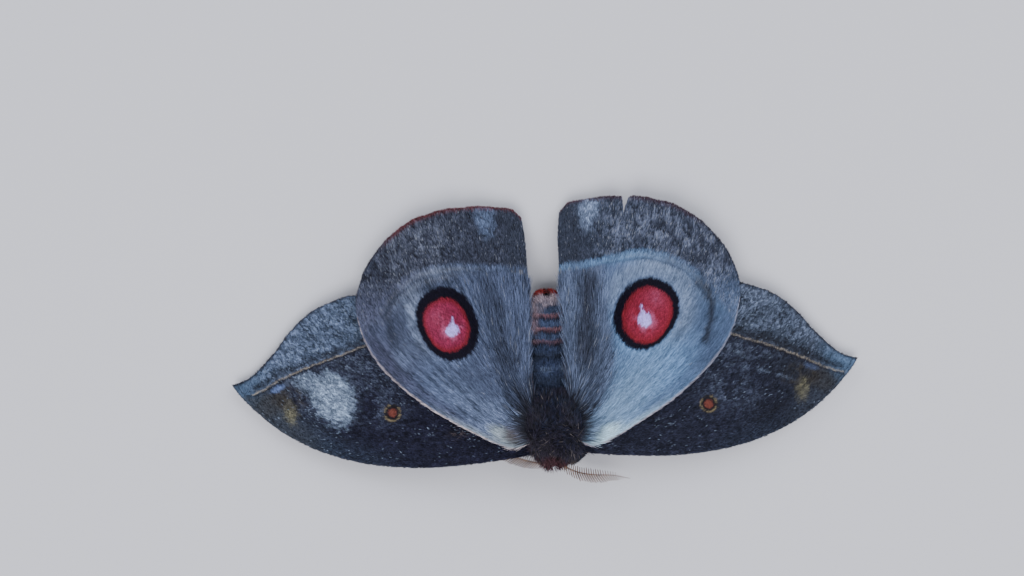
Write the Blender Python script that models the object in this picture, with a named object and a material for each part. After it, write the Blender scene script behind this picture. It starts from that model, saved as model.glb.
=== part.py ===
"""A life-size male Gamelia moth in its threat display, at rest on a flat surface.

The hindwings are drawn forward over the forewings so that both eyespots show, the body lies between
them, and the moth stands on its feet and the underside of its abdomen. The head points to -Y, the tip
of the abdomen to +Y, and +Z is up. The sizes below are in millimetres and are turned into metres when
a mesh is made. The origin is the middle of the model's footprint, on the surface it stands on.
"""

import math
import random

import bpy
import bmesh
from mathutils import Vector

MM = 0.001
GAP = 0.3
SKIN = 0.05
TINY = 1e-6
SHARP = math.radians(40)

# Wings: thickness, the ridges along the veins with the cross-vein that closes the cell, and the grid.
# A place on a wing is its share of the way from root to outer margin, and from front to rear edge
WING_THICKNESS = 0.55
VEIN_HEIGHT = 0.16
VEIN_FLANK = 0.018
CELL_END = 0.44
CELL_FLANK = 0.03
WING_ROWS = (0.0, 0.11, 0.21, 0.31, 0.41, 0.44, 0.47, 0.6, 0.73, 0.86, 0.95, 1.0)
CLEARANCE_ROWS = (0.0, 0.06, 0.12, 0.21, 0.31, 0.47, 0.73, 1.0)
CLEARANCE_COLUMNS = (0.0, 0.1, 0.25, 0.5, 0.75, 0.9, 1.0)

# Forewing outline: points from root to tip along each edge, as x from the midline, y and height. Each
# vein is its place from front to rear and where it starts, and the cell lies between two of them
FOREWING = {
    "costa": ((2.2, -1.2, 4.35), (4.2, -1.5, 4.2), (8.0, -1.95, 3.8), (14.0, -2.15, 3.1),
              (20.0, -1.5, 2.5), (25.0, 0.0, 2.0), (29.3, 2.3, 1.6), (32.3, 4.8, 1.35),
              (34.2, 6.8, 1.2), (35.1, 8.1, 1.1)),
    "margin": ((35.1, 8.1, 1.1), (33.7, 8.5, 1.2), (32.4, 9.3, 1.3), (30.5, 11.1, 1.5),
               (28.4, 13.6, 1.7), (26.2, 15.5, 1.9), (23.8, 16.6, 2.1), (21.2, 17.2, 2.3),
               (18.6, 16.9, 2.5)),
    "dorsum": ((2.2, 1.9, 4.35), (5.5, 4.0, 4.05), (9.8, 8.0, 3.5), (14.4, 12.8, 2.9),
               (18.6, 16.9, 2.5)),
    "veins": ((0.03, 0.0), (0.15, 0.0), (0.28, CELL_END), (0.40, CELL_END), (0.52, CELL_END),
              (0.64, 0.31), (0.76, 0.0), (0.91, 0.0)),
    "cell": (0.15, 0.76),
    "crown": 0.25,
    "ripple": 0.0,
}

# Hindwing outline, in the same way. Its front edge lies over the forewing
HINDWING = {
    "costa": ((2.2, -0.1, 5.45), (4.1, -0.55, 5.4), (6.4, 0.05, 5.2), (9.6, 1.7, 4.9),
              (12.9, 3.7, 4.6), (16.0, 6.1, 4.25), (18.7, 8.9, 3.95), (20.4, 11.8, 3.75),
              (21.3, 14.9, 3.6)),
    "margin": ((21.3, 14.9, 3.6), (21.3, 17.3, 3.55), (20.4, 20.0, 3.5), (18.5, 22.8, 3.35),
               (15.9, 25.1, 3.15), (12.6, 26.5, 2.9), (9.0, 27.05, 2.45), (5.6, 27.0, 1.9),
               (3.3, 26.7, 1.55), (2.0, 25.5, 1.5)),
    "dorsum": ((1.9, 4.0, 5.35), (2.05, 6.5, 5.15), (1.85, 9.0, 5.1), (1.7, 12.0, 5.0),
               (1.65, 15.5, 4.6), (1.65, 19.0, 3.4), (1.7, 22.6, 2.1), (2.0, 25.5, 1.5)),
    "veins": ((0.05, 0.0), (0.19, 0.0), (0.31, CELL_END), (0.42, CELL_END), (0.53, CELL_END),
              (0.64, 0.31), (0.76, 0.0), (0.90, 0.0)),
    "cell": (0.19, 0.76),
    "crown": 0.75,
    "ripple": 0.22,
}

# How each side differs from the other: the turn of the wing about its root, and its share of the reach
WING_POSES = {
    "left": {"side": -1, "forewing": (-0.3, 1.015), "hindwing": (0.1, 0.985), "inset": 0.25},
    "right": {"side": 1, "forewing": (-0.6, 0.985), "hindwing": (-0.3, 1.003), "inset": -0.2},
}
WING_HINGE = (2.6, 1.6)
INSET_Y = (2.0, 6.0)
INSET_X = (2.0, 12.0)
RIPPLE_START = 0.55
RIPPLES = 7
VEIN_FADE = 0.05

# The torn notch in the edge of one hindwing: its side, middle, width at the edge, depth and lean
NOTCH_SIDE = "right"
NOTCH_AT = (9.55, 27.3)
NOTCH_WIDTH = 0.8
NOTCH_DEPTH = 2.2
NOTCH_LEAN = 0.3
NOTCH_OVER = 0.5
NOTCH_TOP = 8.0

# Body: middle and half sizes of the thorax, the head and the eyes. A square below 1 fills the corners out
THORAX_AT = (0.15, 1.4, 4.75)
THORAX_HALF = (2.9, 3.3, 2.3)
THORAX_SQUARE = 0.78
HEAD_AT = (-0.1, -1.7, 3.85)
HEAD_HALF = (1.7, 1.1, 1.35)
EYE_OFFSET = (1.25, -0.3, -0.5)
EYE_HALF = (0.58, 0.66, 0.78)
PALP_SPREAD = 0.42
PALP_ROUTE = ((-2.35, 3.0), (-2.85, 2.95), (-3.15, 3.3))
PALP_THICK = (0.55, 0.62, 0.3)
BODY_ROUND = {"thorax": (20, 12), "head": (14, 10), "eye": (12, 8), "pit": (10, 6)}

# Coat: locks that lie along the thorax, the head and the flanks of the abdomen. A row on the thorax is
# its angle behind the middle, its count and which way it lies, and on the head its height, count and
# arc. A lock's route is its share of the length and how far it stands off the body there
THORAX_LOCK_ROWS = ((-66, 6, -1), (-46, 7, -1), (-26, 8, -1), (-4, 8, -1), (-14, 8, 1), (7, 8, 1),
                    (25, 8, 1), (43, 8, 1), (62, 7, 1))
LOCK_ARC = 195
LOCK_LENGTH = 2.1
LOCK_WIDTH = 1.55
LOCK_DEPTH = 0.8
LOCK_ROOT = 0.45
LOCK_BACK = 0.15
LOCK_ROUTE = ((0.32, 0.30), (0.68, 0.36), (1.0, 0.10))
FRONT_SHARE = 0.85
LOCK_SPLAY = 0.4
LOCK_SWAY = 0.15
LOCK_DROOP = -0.5
LOCK_SCATTER = 4
SIDE_LIFT = 0.3
HEAD_LOCK_ROWS = ((-0.25, 4, 60), (0.2, 6, 140), (0.6, 7, 200), (0.92, 3, 240))
HEAD_LOCK_LENGTH = 1.1
HEAD_LOCK_WIDTH = 0.8
HEAD_LOCK_DEPTH = 0.6
SEED = 7

# Abdomen: y, height of the middle and half width at each ring between segments. Within a segment it
# swells from the pinch at the ring, and its end is rounded off by the steps of the cap
ABDOMEN_RINGS = ((3.6, 3.7, 1.9), (5.4, 3.35, 2.1), (7.1, 2.9, 2.2), (9.0, 2.4, 2.2),
                 (10.6, 2.0, 2.15), (12.0, 1.93, 2.07), (13.5, 1.82, 1.94), (15.0, 1.95, 1.75),
                 (16.0, 2.1, 1.45))
ABDOMEN_END = (16.75, 2.3)
ABDOMEN_SIDES = 16
ABDOMEN_FLATTEN = 0.97
SEGMENT_STEPS = ((0.0, 0.94), (0.28, 1.0), (0.8, 1.02))
CAP_STEPS = ((0.0, 0.0, 0.94), (0.45, 0.12, 0.85), (0.72, 0.2, 0.55))
PIT_AT = (0.05, 16.2, 3.3)
PIT_HALF = (0.45, 0.5, 0.5)
TUFT_LOCKS = 8
TUFT_LENGTH = 1.0
TUFT_WIDTH = 0.75
TUFT_ARC = math.radians(250)
TUFT_SINK = 0.13
FLANK_LOCKS = 4
FLANK_LENGTH = 1.5
FLANK_BACK = 0.5

# Legs: hip, knee, ankle and toe of each, with the thigh, shin and foot thicknesses
LEGS = {
    "leg_fore_left": ((-1.0, 0.2, 3.0), (-2.3, -0.9, 2.0), (-3.5, -0.4, 0.75), (-5.6, 0.4, 0.24)),
    "leg_fore_right": ((1.0, 0.1, 3.0), (1.95, -2.2, 2.1), (3.2, -1.5, 0.75), (5.2, -0.5, 0.24)),
    "leg_mid_left": ((-1.2, 1.7, 2.9), (-3.9, 2.1, 2.6), (-6.0, 3.2, 0.75), (-8.6, 4.4, 0.24)),
    "leg_mid_right": ((1.2, 1.7, 2.9), (3.9, 2.1, 2.6), (6.1, 3.0, 0.75), (8.8, 4.0, 0.24)),
    "leg_hind_left": ((-1.2, 2.9, 2.9), (-4.0, 4.4, 2.5), (-5.2, 7.6, 0.75), (-6.2, 10.6, 0.24)),
    "leg_hind_right": ((1.2, 2.9, 2.9), (4.0, 4.4, 2.5), (5.3, 7.5, 0.75), (6.5, 10.4, 0.24)),
}
THIGH = 0.95
SHIN = 0.8
ANKLE = 0.55
FOOT = 0.56
HEEL = 0.3
LEG_SIDES = 6

# Antennae: the shaft's route from the head, and the branches along it
ANTENNAE = {
    "antenna_left": ((-0.75, -2.55, 4.45), (-1.6, -2.75, 4.1), (-2.9, -2.45, 3.55), (-4.3, -1.8, 3.0),
                     (-5.9, -1.0, 2.5), (-7.6, -0.3, 2.1)),
    "antenna_right": ((0.6, -2.55, 4.45), (1.35, -3.05, 4.2), (2.6, -3.55, 3.7), (4.3, -3.9, 3.2),
                      (6.2, -4.1, 2.8), (8.2, -4.5, 2.5)),
}
SHAFT_THICK = 0.52
SHAFT_TIP = 0.3
SHAFT_STEPS = 10
SHAFT_SIDES = 6
BRANCH_PAIRS = 11
BRANCH_SPAN = (0.16, 0.9)
BRANCH_LENGTH = 0.75
BRANCH_THICK = 0.5
BRANCH_LEAN = 0.55

COLOURS = {
    "forewing": ((0.055, 0.060, 0.070), 0.85),
    "hindwing": ((0.170, 0.200, 0.245), 0.85),
    "coat": ((0.018, 0.016, 0.018), 0.90),
    "abdomen": ((0.060, 0.075, 0.110), 0.85),
    "leg": ((0.022, 0.020, 0.024), 0.85),
    "eye": ((0.010, 0.008, 0.008), 0.25),
    "antenna": ((0.420, 0.270, 0.170), 0.60),
}


def clear_scene():
    for thing in list(bpy.data.objects):
        bpy.data.objects.remove(thing, do_unlink=True)


def material(name):
    """The finish of that name, made once."""
    found = bpy.data.materials.get(name)
    if found:
        return found
    colour, roughness = COLOURS[name]
    made = bpy.data.materials.new(name)
    made.use_nodes = True
    shader = made.node_tree.nodes["Principled BSDF"]
    shader.inputs["Base Color"].default_value = (*colour, 1.0)
    shader.inputs["Roughness"].default_value = roughness
    shader.inputs["Metallic"].default_value = 0.0
    made.diffuse_color = (*colour, 1.0)
    return made


def add_object(name, shape, finish):
    """A mesh object from points in millimetres and faces, which are turned outwards."""
    points, faces = shape
    mesh = bpy.data.meshes.new(name)
    mesh.from_pydata([tuple(c * MM for c in p) for p in points], [], faces)
    shape = bmesh.new()
    shape.from_mesh(mesh)
    bmesh.ops.recalc_face_normals(shape, faces=shape.faces)
    shape.to_mesh(mesh)
    shape.free()
    thing = bpy.data.objects.new(name, mesh)
    bpy.context.scene.collection.objects.link(thing)
    mesh.materials.append(material(finish))
    return thing


def tidy_mesh(thing):
    """Triangulates, merges stray points and keeps only the largest closed surface."""
    shape = bmesh.new()
    shape.from_mesh(thing.data)
    bmesh.ops.triangulate(shape, faces=shape.faces)
    left = set(shape.verts)
    bodies = []
    while left:
        grown = [left.pop()]
        body = set(grown)
        while grown:
            for edge in grown.pop().link_edges:
                for corner in edge.verts:
                    if corner in left:
                        left.discard(corner)
                        body.add(corner)
                        grown.append(corner)
        bodies.append(body)
    bodies.sort(key=len)
    for scrap in bodies[:-1]:
        bmesh.ops.delete(shape, geom=list(scrap), context="VERTS")
    shape.to_mesh(thing.data)
    shape.free()


def boolean(thing, others, operation):
    """Joins the others to a thing, or cuts them from it, and removes them."""
    group = bpy.data.collections.new("operands")
    for other in others:
        for holder in list(other.users_collection):
            holder.objects.unlink(other)
        group.objects.link(other)
    step = thing.modifiers.new("step", "BOOLEAN")
    step.operation = operation
    step.operand_type = "COLLECTION"
    step.collection = group
    step.solver = "MANIFOLD"
    graph = bpy.context.evaluated_depsgraph_get()
    made = bpy.data.meshes.new_from_object(thing.evaluated_get(graph))
    thing.modifiers.clear()
    thing.data = made
    for other in others:
        bpy.data.objects.remove(other, do_unlink=True)
    bpy.data.collections.remove(group)
    tidy_mesh(thing)


def cutter(shape):
    return add_object("cutter", shape, "coat")


def smooth_curve(points):
    """A function of 0 to 1 that runs evenly through the points on a Catmull-Rom curve."""
    knots = [Vector(p) for p in points]
    knots = [knots[0] * 2 - knots[1], *knots, knots[-1] * 2 - knots[-2]]
    lengths = [0.0]
    for a, b in zip(knots[1:-2], knots[2:-1]):
        lengths.append(lengths[-1] + (b - a).length)

    def at(t):
        far = min(max(t, 0.0), 1.0) * lengths[-1]
        i = max(j for j in range(len(lengths) - 1) if lengths[j] <= far + TINY)
        s = (far - lengths[i]) / (lengths[i + 1] - lengths[i])
        a, b, c, d = knots[i:i + 4]
        return 0.5 * ((2 * b) + (c - a) * s + (2 * a - 5 * b + 4 * c - d) * s ** 2
                      + (3 * b - a - 3 * c + d) * s ** 3)

    return at


def sweep(path, widths, depths, sides, up, turn=0.0):
    """Closed tube along a path with its own width and depth at each point. A width of 0 is a point."""
    path = [Vector(p) for p in path]
    points, rings = [], []
    for i, middle in enumerate(path):
        along = (path[min(i + 1, len(path) - 1)] - path[max(i - 1, 0)]).normalized()
        across = along.cross(Vector(up)).normalized()
        out = across.cross(along).normalized()
        if widths[i] == 0:
            rings.append([len(points)])
            points.append(middle)
            continue
        rings.append(list(range(len(points), len(points) + sides)))
        for k in range(sides):
            angle = turn + 2 * math.pi * k / sides
            points.append(middle + across * (math.cos(angle) * widths[i] / 2)
                          + out * (math.sin(angle) * depths[i] / 2))
    faces = []
    for a, b in zip(rings, rings[1:]):
        for k in range(sides):
            n = (k + 1) % sides
            if len(b) == 1:
                faces.append((a[k], a[n], b[0]))
            elif len(a) == 1:
                faces.append((a[0], b[n], b[k]))
            else:
                faces.append((a[k], a[n], b[n]))
                faces.append((a[k], b[n], b[k]))
    if len(rings[0]) > 1:
        faces.append(tuple(reversed(rings[0])))
    if len(rings[-1]) > 1:
        faces.append(tuple(rings[-1]))
    return points, faces


def squared(unit, square):
    """A point of the unit sphere, pushed out towards the corners of a box."""
    return Vector([math.copysign(abs(c) ** square, c) for c in unit])


def ellipsoid(middle, half, around=20, down=12, grow=0.0, square=1.0):
    """Closed ellipsoid with its poles on Z, grown by a clearance and filled out to its corners."""
    points = [Vector((0, 0, 1))]
    for j in range(1, down):
        tilt = math.pi * j / down
        for k in range(around):
            angle = 2 * math.pi * k / around
            points.append(Vector((math.sin(tilt) * math.cos(angle), math.sin(tilt) * math.sin(angle),
                                  math.cos(tilt))))
    points.append(Vector((0, 0, -1)))
    faces = []
    last = len(points) - 1
    for k in range(around):
        n = (k + 1) % around
        faces.append((0, 1 + k, 1 + n))
        foot = 1 + (down - 2) * around
        faces.append((last, foot + n, foot + k))
        for j in range(down - 2):
            a = 1 + j * around
            b = a + around
            faces.append((a + k, b + k, b + n))
            faces.append((a + k, b + n, a + n))
    placed = []
    for p in points:
        p = squared(p, square)
        placed.append(Vector([middle[i] + p[i] * (half[i] + grow) for i in range(3)]))
    return placed, faces


def ramp(x, low, high):
    """A smooth step from 0 at the low end to 1 at the high end."""
    x = min(max((x - low) / (high - low), 0.0), 1.0)
    return x * x * (3 - 2 * x)


def wing_edges(plan, side, turn, reach, inset):
    """The wing's four edges as curves, posed for its side. The inset moves the free inner edge out."""
    spin = math.radians(turn)

    def posed(points):
        made = []
        for x, y, z in points:
            x, y = x - WING_HINGE[0], y - WING_HINGE[1]
            x, y = (reach * (x * math.cos(spin) - y * math.sin(spin)),
                    reach * (x * math.sin(spin) + y * math.cos(spin)))
            x += WING_HINGE[0] + inset * ramp(y, *INSET_Y) * (1 - ramp(x, *INSET_X))
            made.append((x * side, y + WING_HINGE[1], z))
        return made

    costa, margin, dorsum = (posed(plan[k]) for k in ("costa", "margin", "dorsum"))
    root = (costa[0], dorsum[0])
    return smooth_curve(costa), smooth_curve(margin), smooth_curve(dorsum), smooth_curve(root)


def wing_point(edges, plan, u, v):
    """A point of the wing's middle surface: u runs from root to outer margin, v from front to rear."""
    costa, margin, dorsum, root = edges
    flat = (costa(u) * (1 - v) + dorsum(u) * v + root(v) * (1 - u) + margin(v) * u
            - costa(0) * (1 - u) * (1 - v) - costa(1) * u * (1 - v)
            - dorsum(0) * (1 - u) * v - dorsum(1) * u * v)
    arch = math.sin(math.pi * v)
    crown = plan["crown"] * math.sin(math.pi * u) * arch
    ripple = plan["ripple"] * ramp(u, RIPPLE_START, 1.0) * math.cos(2 * math.pi * v * RIPPLES) * arch
    return flat + Vector((0, 0, crown - ripple))


def vein_ridge(plan, u, v):
    """How far the upper face is raised at a point of the wing's grid."""
    raised = 0.0
    for place, start in plan["veins"]:
        if abs(v - place) < VEIN_FLANK / 2 and u >= start - TINY:
            raised = VEIN_HEIGHT
    first, last = plan["cell"]
    if abs(u - CELL_END) < CELL_FLANK / 2 and first <= v <= last:
        raised = VEIN_HEIGHT
    return raised * (1 - ramp(u, 1 - VEIN_FADE, 1 + VEIN_FADE))


def wing_columns(plan):
    """Places across the wing: each vein's crest and flanks, and a line between them where it ripples."""
    columns = [0.0]
    for place, _ in plan["veins"]:
        before = place - VEIN_FLANK
        if plan["ripple"] and before - columns[-1] > 3 * VEIN_FLANK:
            columns.append((before + columns[-1]) / 2)
        if before > columns[-1] + TINY:
            columns.append(before)
        columns += [place, place + VEIN_FLANK]
    return [*columns, 1.0]


def wing_shape(plan, edges, grow=0.0, veined=True):
    """Closed sheet of the wing, with both faces split into triangles alike."""
    columns = wing_columns(plan) if veined else CLEARANCE_COLUMNS
    rows = WING_ROWS if veined else CLEARANCE_ROWS
    half = WING_THICKNESS / 2 + grow
    middle = wing_point(edges, plan, 0.5, 0.5)
    points = []
    for level in (1, -1):
        for u in rows:
            for v in columns:
                p = wing_point(edges, plan, u, v)
                if u in (0.0, 1.0) or v in (0.0, 1.0):
                    p = p + ((p - middle) * Vector((1, 1, 0))).normalized() * grow
                lift = half + (vein_ridge(plan, u, v) if veined and level > 0 else 0.0)
                points.append(p + Vector((0, 0, level * lift)))
    wide = len(columns)
    under = len(rows) * wide

    def at(i, j, low):
        return i * wide + j + (under if low else 0)

    faces = []
    for i in range(len(rows) - 1):
        for j in range(wide - 1):
            for a, b, c in (((0, 0), (1, 0), (1, 1)), ((0, 0), (1, 1), (0, 1))):
                upper = [at(i + s[0], j + s[1], False) for s in (a, b, c)]
                lower = [at(i + s[0], j + s[1], True) for s in (c, b, a)]
                faces += [upper, lower]
    end = len(rows) - 1
    rim = [(0, j) for j in range(wide)] + [(i, wide - 1) for i in range(1, end + 1)]
    rim += [(end, j) for j in range(wide - 2, -1, -1)] + [(i, 0) for i in range(end - 1, 0, -1)]
    for a, b in zip(rim, rim[1:] + rim[:1]):
        faces.append([at(*a, False), at(*b, False), at(*b, True)])
        faces.append([at(*a, False), at(*b, True), at(*a, True)])
    return points, faces


def notch_shape():
    """The wedge that tears the notch out of the wing's edge."""
    x, y = NOTCH_AT
    wide = NOTCH_WIDTH / 2 * (NOTCH_DEPTH + NOTCH_OVER) / NOTCH_DEPTH
    outline = ((x - wide, y + NOTCH_OVER), (x + wide, y + NOTCH_OVER), (x - NOTCH_LEAN, y - NOTCH_DEPTH))
    points = [(px, py, z) for z in (0.0, NOTCH_TOP) for px, py in outline]
    return points, [(1, 0, 2), (3, 4, 5), (0, 1, 4, 3), (1, 2, 5, 4), (2, 0, 3, 5)]


def thorax_core(grow=0.0):
    return ellipsoid(THORAX_AT, THORAX_HALF, *BODY_ROUND["thorax"], grow, THORAX_SQUARE)


def head_core(grow=0.0):
    return ellipsoid(HEAD_AT, HEAD_HALF, *BODY_ROUND["head"], grow)


def eye_shape(side, grow=0.0):
    middle = [HEAD_AT[i] + EYE_OFFSET[i] * (side if i == 0 else 1) for i in range(3)]
    return ellipsoid(middle, EYE_HALF, *BODY_ROUND["eye"], grow)


def make_wings():
    """Both pairs of wings, and for each the larger shape that keeps the coat clear of it."""
    clearances = []
    for word, pose in WING_POSES.items():
        for kind, plan in (("forewing", FOREWING), ("hindwing", HINDWING)):
            inset = pose["inset"] if kind == "hindwing" else 0.0
            edges = wing_edges(plan, pose["side"], *pose[kind], inset)
            wing = add_object(f"{kind}_{word}", wing_shape(plan, edges), kind)
            cutters = [cutter(thorax_core(GAP))]
            if kind == "hindwing" and word == NOTCH_SIDE:
                cutters.append(cutter(notch_shape()))
            boolean(wing, cutters, "DIFFERENCE")
            clearance = cutter(wing_shape(plan, edges, GAP, False))
            boolean(clearance, [cutter(thorax_core(SKIN))], "DIFFERENCE")
            clearances.append(clearance)
    return clearances


def lock_shape(root, normal, flow, length, width, depth, lift=0.0, grow=0.0):
    """A flat, tapered lock: its root is sunk in the body and its tip bends back along the lie."""
    root, normal, flow = Vector(root), Vector(normal).normalized(), Vector(flow)
    flow = (flow - normal * flow.dot(normal)).normalized()
    route = [root - normal * LOCK_ROOT - flow * LOCK_BACK]
    for share, height in LOCK_ROUTE:
        route.append(root + flow * (share * length + grow) + normal * (height + lift))
    widths = [share * width + 2 * grow for share in (0.7, 1.0, 0.7, 0.0)]
    depths = [share * depth + 2 * grow for share in (1.0, 1.0, 0.8, 0.0)]
    return sweep(route, widths, depths, 3, normal, math.pi / 2)


def body_surface(middle, half, way, square=1.0):
    """A point just inside a body's surface, that way from its middle, and the direction out of it."""
    reach = sum(abs(c) ** (2 / square) for c in way) ** (-square / 2)
    root = Vector([middle[i] + way[i] * reach * (half[i] - SKIN) for i in range(3)])
    normal = [math.copysign(abs(way[i]) ** (2 / square - 1), way[i]) / half[i] for i in range(3)]
    return root, Vector(normal).normalized()


def thorax_locks(rng):
    """Rows of locks like shingles over the back and sides, parted across the shoulders."""
    locks = []
    for row, (behind, count, way) in enumerate(THORAX_LOCK_ROWS):
        for k in range(count):
            place = (k + 0.5 + 0.25 * (-1) ** row) / count - 0.5
            roll = math.radians(LOCK_ARC * place + rng.uniform(-LOCK_SCATTER, LOCK_SCATTER))
            lean = math.radians(behind + rng.uniform(-LOCK_SCATTER, LOCK_SCATTER))
            unit = Vector((math.sin(roll) * math.cos(lean), math.sin(lean),
                           math.cos(roll) * math.cos(lean)))
            root, normal = body_surface(THORAX_AT, THORAX_HALF, unit, THORAX_SQUARE)
            flow = Vector((LOCK_SPLAY * unit.x + rng.uniform(-LOCK_SWAY, LOCK_SWAY), way, LOCK_DROOP))
            length = LOCK_LENGTH * rng.uniform(0.85, 1.15) * (FRONT_SHARE if way < 0 else 1.0)
            lift = SIDE_LIFT * rng.uniform(0.0, 0.9) * abs(unit.x)
            locks.append(lock_shape(root, normal, flow, length, LOCK_WIDTH * rng.uniform(0.85, 1.15),
                                    LOCK_DEPTH, lift))
    return locks


def make_thorax(clearances, rng):
    """The thorax with its locks, cut clear of the wings, the head, the abdomen and the antennae."""
    thorax = add_object("thorax", thorax_core(), "coat")
    boolean(thorax, [add_object("lock", shape, "coat") for shape in thorax_locks(rng)], "UNION")
    cutters = clearances + [cutter(head_core(GAP)), cutter(abdomen_shape(GAP))]
    cutters += [cutter(shape) for shape in head_locks(GAP)]
    cutters += [cutter(shaft_shape(route, GAP)) for route in ANTENNAE.values()]
    boolean(thorax, cutters, "DIFFERENCE")


def head_locks(grow=0.0):
    """Clumps in rows, each row spread over an arc, that point forward over the face and the eyes."""
    rng = random.Random(SEED)
    locks = []
    for height, count, arc in HEAD_LOCK_ROWS:
        ring = math.sqrt(1 - height * height)
        for k in range(count):
            angle = math.radians(-90 + arc * ((k + 0.5) / count - 0.5)) + rng.uniform(-0.05, 0.05)
            unit = Vector((ring * math.cos(angle), ring * math.sin(angle), height))
            root, normal = body_surface(HEAD_AT, HEAD_HALF, unit)
            flow = Vector((0.5 * unit.x, -1.0, -0.9 + height))
            locks.append(lock_shape(root, normal, flow, HEAD_LOCK_LENGTH * rng.uniform(0.85, 1.1),
                                    HEAD_LOCK_WIDTH, HEAD_LOCK_DEPTH, grow=grow))
    return locks


def palp_shape(side):
    """A short furry feeler that points forward under the face."""
    route = [(HEAD_AT[0] + side * PALP_SPREAD, y, z) for y, z in PALP_ROUTE]
    return sweep(route, PALP_THICK, PALP_THICK, LEG_SIDES, (0, 0, 1))


def make_head():
    """The head with its locks and palps, cut clear of the eyes, the antennae and the near foreleg."""
    head = add_object("head", head_core(), "coat")
    pieces = head_locks() + [palp_shape(side) for side in (-1, 1)]
    boolean(head, [add_object("piece", shape, "coat") for shape in pieces], "UNION")
    cutters = [cutter(shaft_shape(route, GAP)) for route in ANTENNAE.values()]
    cutters.append(cutter(leg_shape(LEGS["leg_fore_right"], GAP)))
    for side, word in ((-1, "left"), (1, "right")):
        add_object(f"eye_{word}", eye_shape(side), "eye")
        cutters.append(cutter(eye_shape(side, GAP)))
    boolean(head, cutters, "DIFFERENCE")


def abdomen_shape(grow=0.0):
    """Body of revolution with a pinch at each ring, flat where it lies on the floor."""
    stations = []
    for (y0, z0, r0), (y1, z1, r1) in zip(ABDOMEN_RINGS, ABDOMEN_RINGS[1:]):
        for share, swell in SEGMENT_STEPS:
            stations.append((y0 + share * (y1 - y0), z0 + share * (z1 - z0),
                             (r0 + share * (r1 - r0)) * swell))
    y, z, r = ABDOMEN_RINGS[-1]
    stations += [(y + back, z + rise, r * share) for back, rise, share in CAP_STEPS]
    points = [Vector((0, ABDOMEN_RINGS[0][0] - grow, ABDOMEN_RINGS[0][1]))]
    for i, (y, z, r) in enumerate(stations):
        y = y - grow if i == 0 else y
        for k in range(ABDOMEN_SIDES):
            angle = 2 * math.pi * (k + 0.5) / ABDOMEN_SIDES
            low = z + (r + grow) * ABDOMEN_FLATTEN * math.cos(angle)
            points.append(Vector(((r + grow) * math.sin(angle), y, max(low, 0.0))))
    points.append(Vector((0, ABDOMEN_END[0] + grow, ABDOMEN_END[1])))
    faces = []
    n = ABDOMEN_SIDES
    for k in range(n):
        m = (k + 1) % n
        faces.append((0, 1 + k, 1 + m))
        top = 1 + (len(stations) - 1) * n
        faces.append((len(points) - 1, top + m, top + k))
        for i in range(len(stations) - 1):
            a = 1 + i * n
            b = a + n
            faces.append((a + k, b + k, b + m))
            faces.append((a + k, b + m, a + m))
    return points, faces


def abdomen_tufts(rng):
    """The tuft of locks round the tip, and small ones along the flanks at the rings."""
    y, z, r = ABDOMEN_RINGS[-1]
    tufts = []
    for k in range(TUFT_LOCKS):
        angle = TUFT_ARC * (k / (TUFT_LOCKS - 1) - 0.5)
        normal = Vector((math.sin(angle), 0.15, math.cos(angle)))
        root = Vector((0, y, z)) + Vector((normal.x, 0, normal.z)) * (r - TUFT_SINK)
        tufts.append(lock_shape(root, normal, (0, 1, 0.1), TUFT_LENGTH * rng.uniform(0.85, 1.1),
                                TUFT_WIDTH, LOCK_DEPTH, -TUFT_SINK))
    for y, z, r in ABDOMEN_RINGS[-FLANK_LOCKS - 1:-1]:
        for side in (-1, 1):
            normal = Vector((side, 0, 0.25)).normalized()
            root = Vector((0, y - FLANK_BACK, z)) + normal * (r - TUFT_SINK)
            tufts.append(lock_shape(root, normal, (0.25 * side, 1, 0),
                                    FLANK_LENGTH * rng.uniform(0.9, 1.1), TUFT_WIDTH, LOCK_DEPTH,
                                    -TUFT_SINK))
    return tufts


def make_abdomen(rng):
    abdomen = add_object("abdomen", abdomen_shape(), "abdomen")
    boolean(abdomen, [add_object("piece", shape, "abdomen") for shape in abdomen_tufts(rng)], "UNION")
    boolean(abdomen, [cutter(ellipsoid(PIT_AT, PIT_HALF, *BODY_ROUND["pit"]))], "DIFFERENCE")


def leg_shape(joints, grow=0.0):
    """Thigh, shin and foot in one bent tube. The foot's lowest facet lies flat on the floor."""
    hip, knee, ankle, toe = (Vector(p) for p in joints)
    heel = ankle.lerp(toe, HEEL)
    heel.z = toe.z = FOOT / 2 * math.cos(math.pi / LEG_SIDES)
    path = (hip, hip.lerp(knee, 0.5), knee.lerp(hip, 0.12), knee.lerp(ankle, 0.15),
            knee.lerp(ankle, 0.6), ankle, heel, toe)
    wide = (0.8 * THIGH, THIGH, 0.95 * THIGH, SHIN, SHIN, ANKLE, FOOT, FOOT)
    wide = [w + 2 * grow for w in wide]
    return sweep(path, wide, wide, LEG_SIDES, (0, 0, 1))


def make_legs():
    for name, joints in LEGS.items():
        leg = add_object(name, leg_shape(joints), "leg")
        boolean(leg, [cutter(thorax_core(GAP)), cutter(abdomen_shape(GAP))], "DIFFERENCE")


def shaft_shape(route, grow=0.0):
    curve = smooth_curve(route)
    shares = [i / SHAFT_STEPS for i in range(SHAFT_STEPS + 1)]
    thick = [SHAFT_THICK + (SHAFT_TIP - SHAFT_THICK) * t + 2 * grow for t in shares]
    return sweep([curve(t) for t in shares], thick, thick, SHAFT_SIDES, (0, 0, 1))


def branch_length(t):
    """The comb is longest a third of the way along the shaft."""
    return BRANCH_LENGTH * (0.35 + 0.65 * math.sin(math.pi * (0.2 + 0.8 * (1 - t))))


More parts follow.
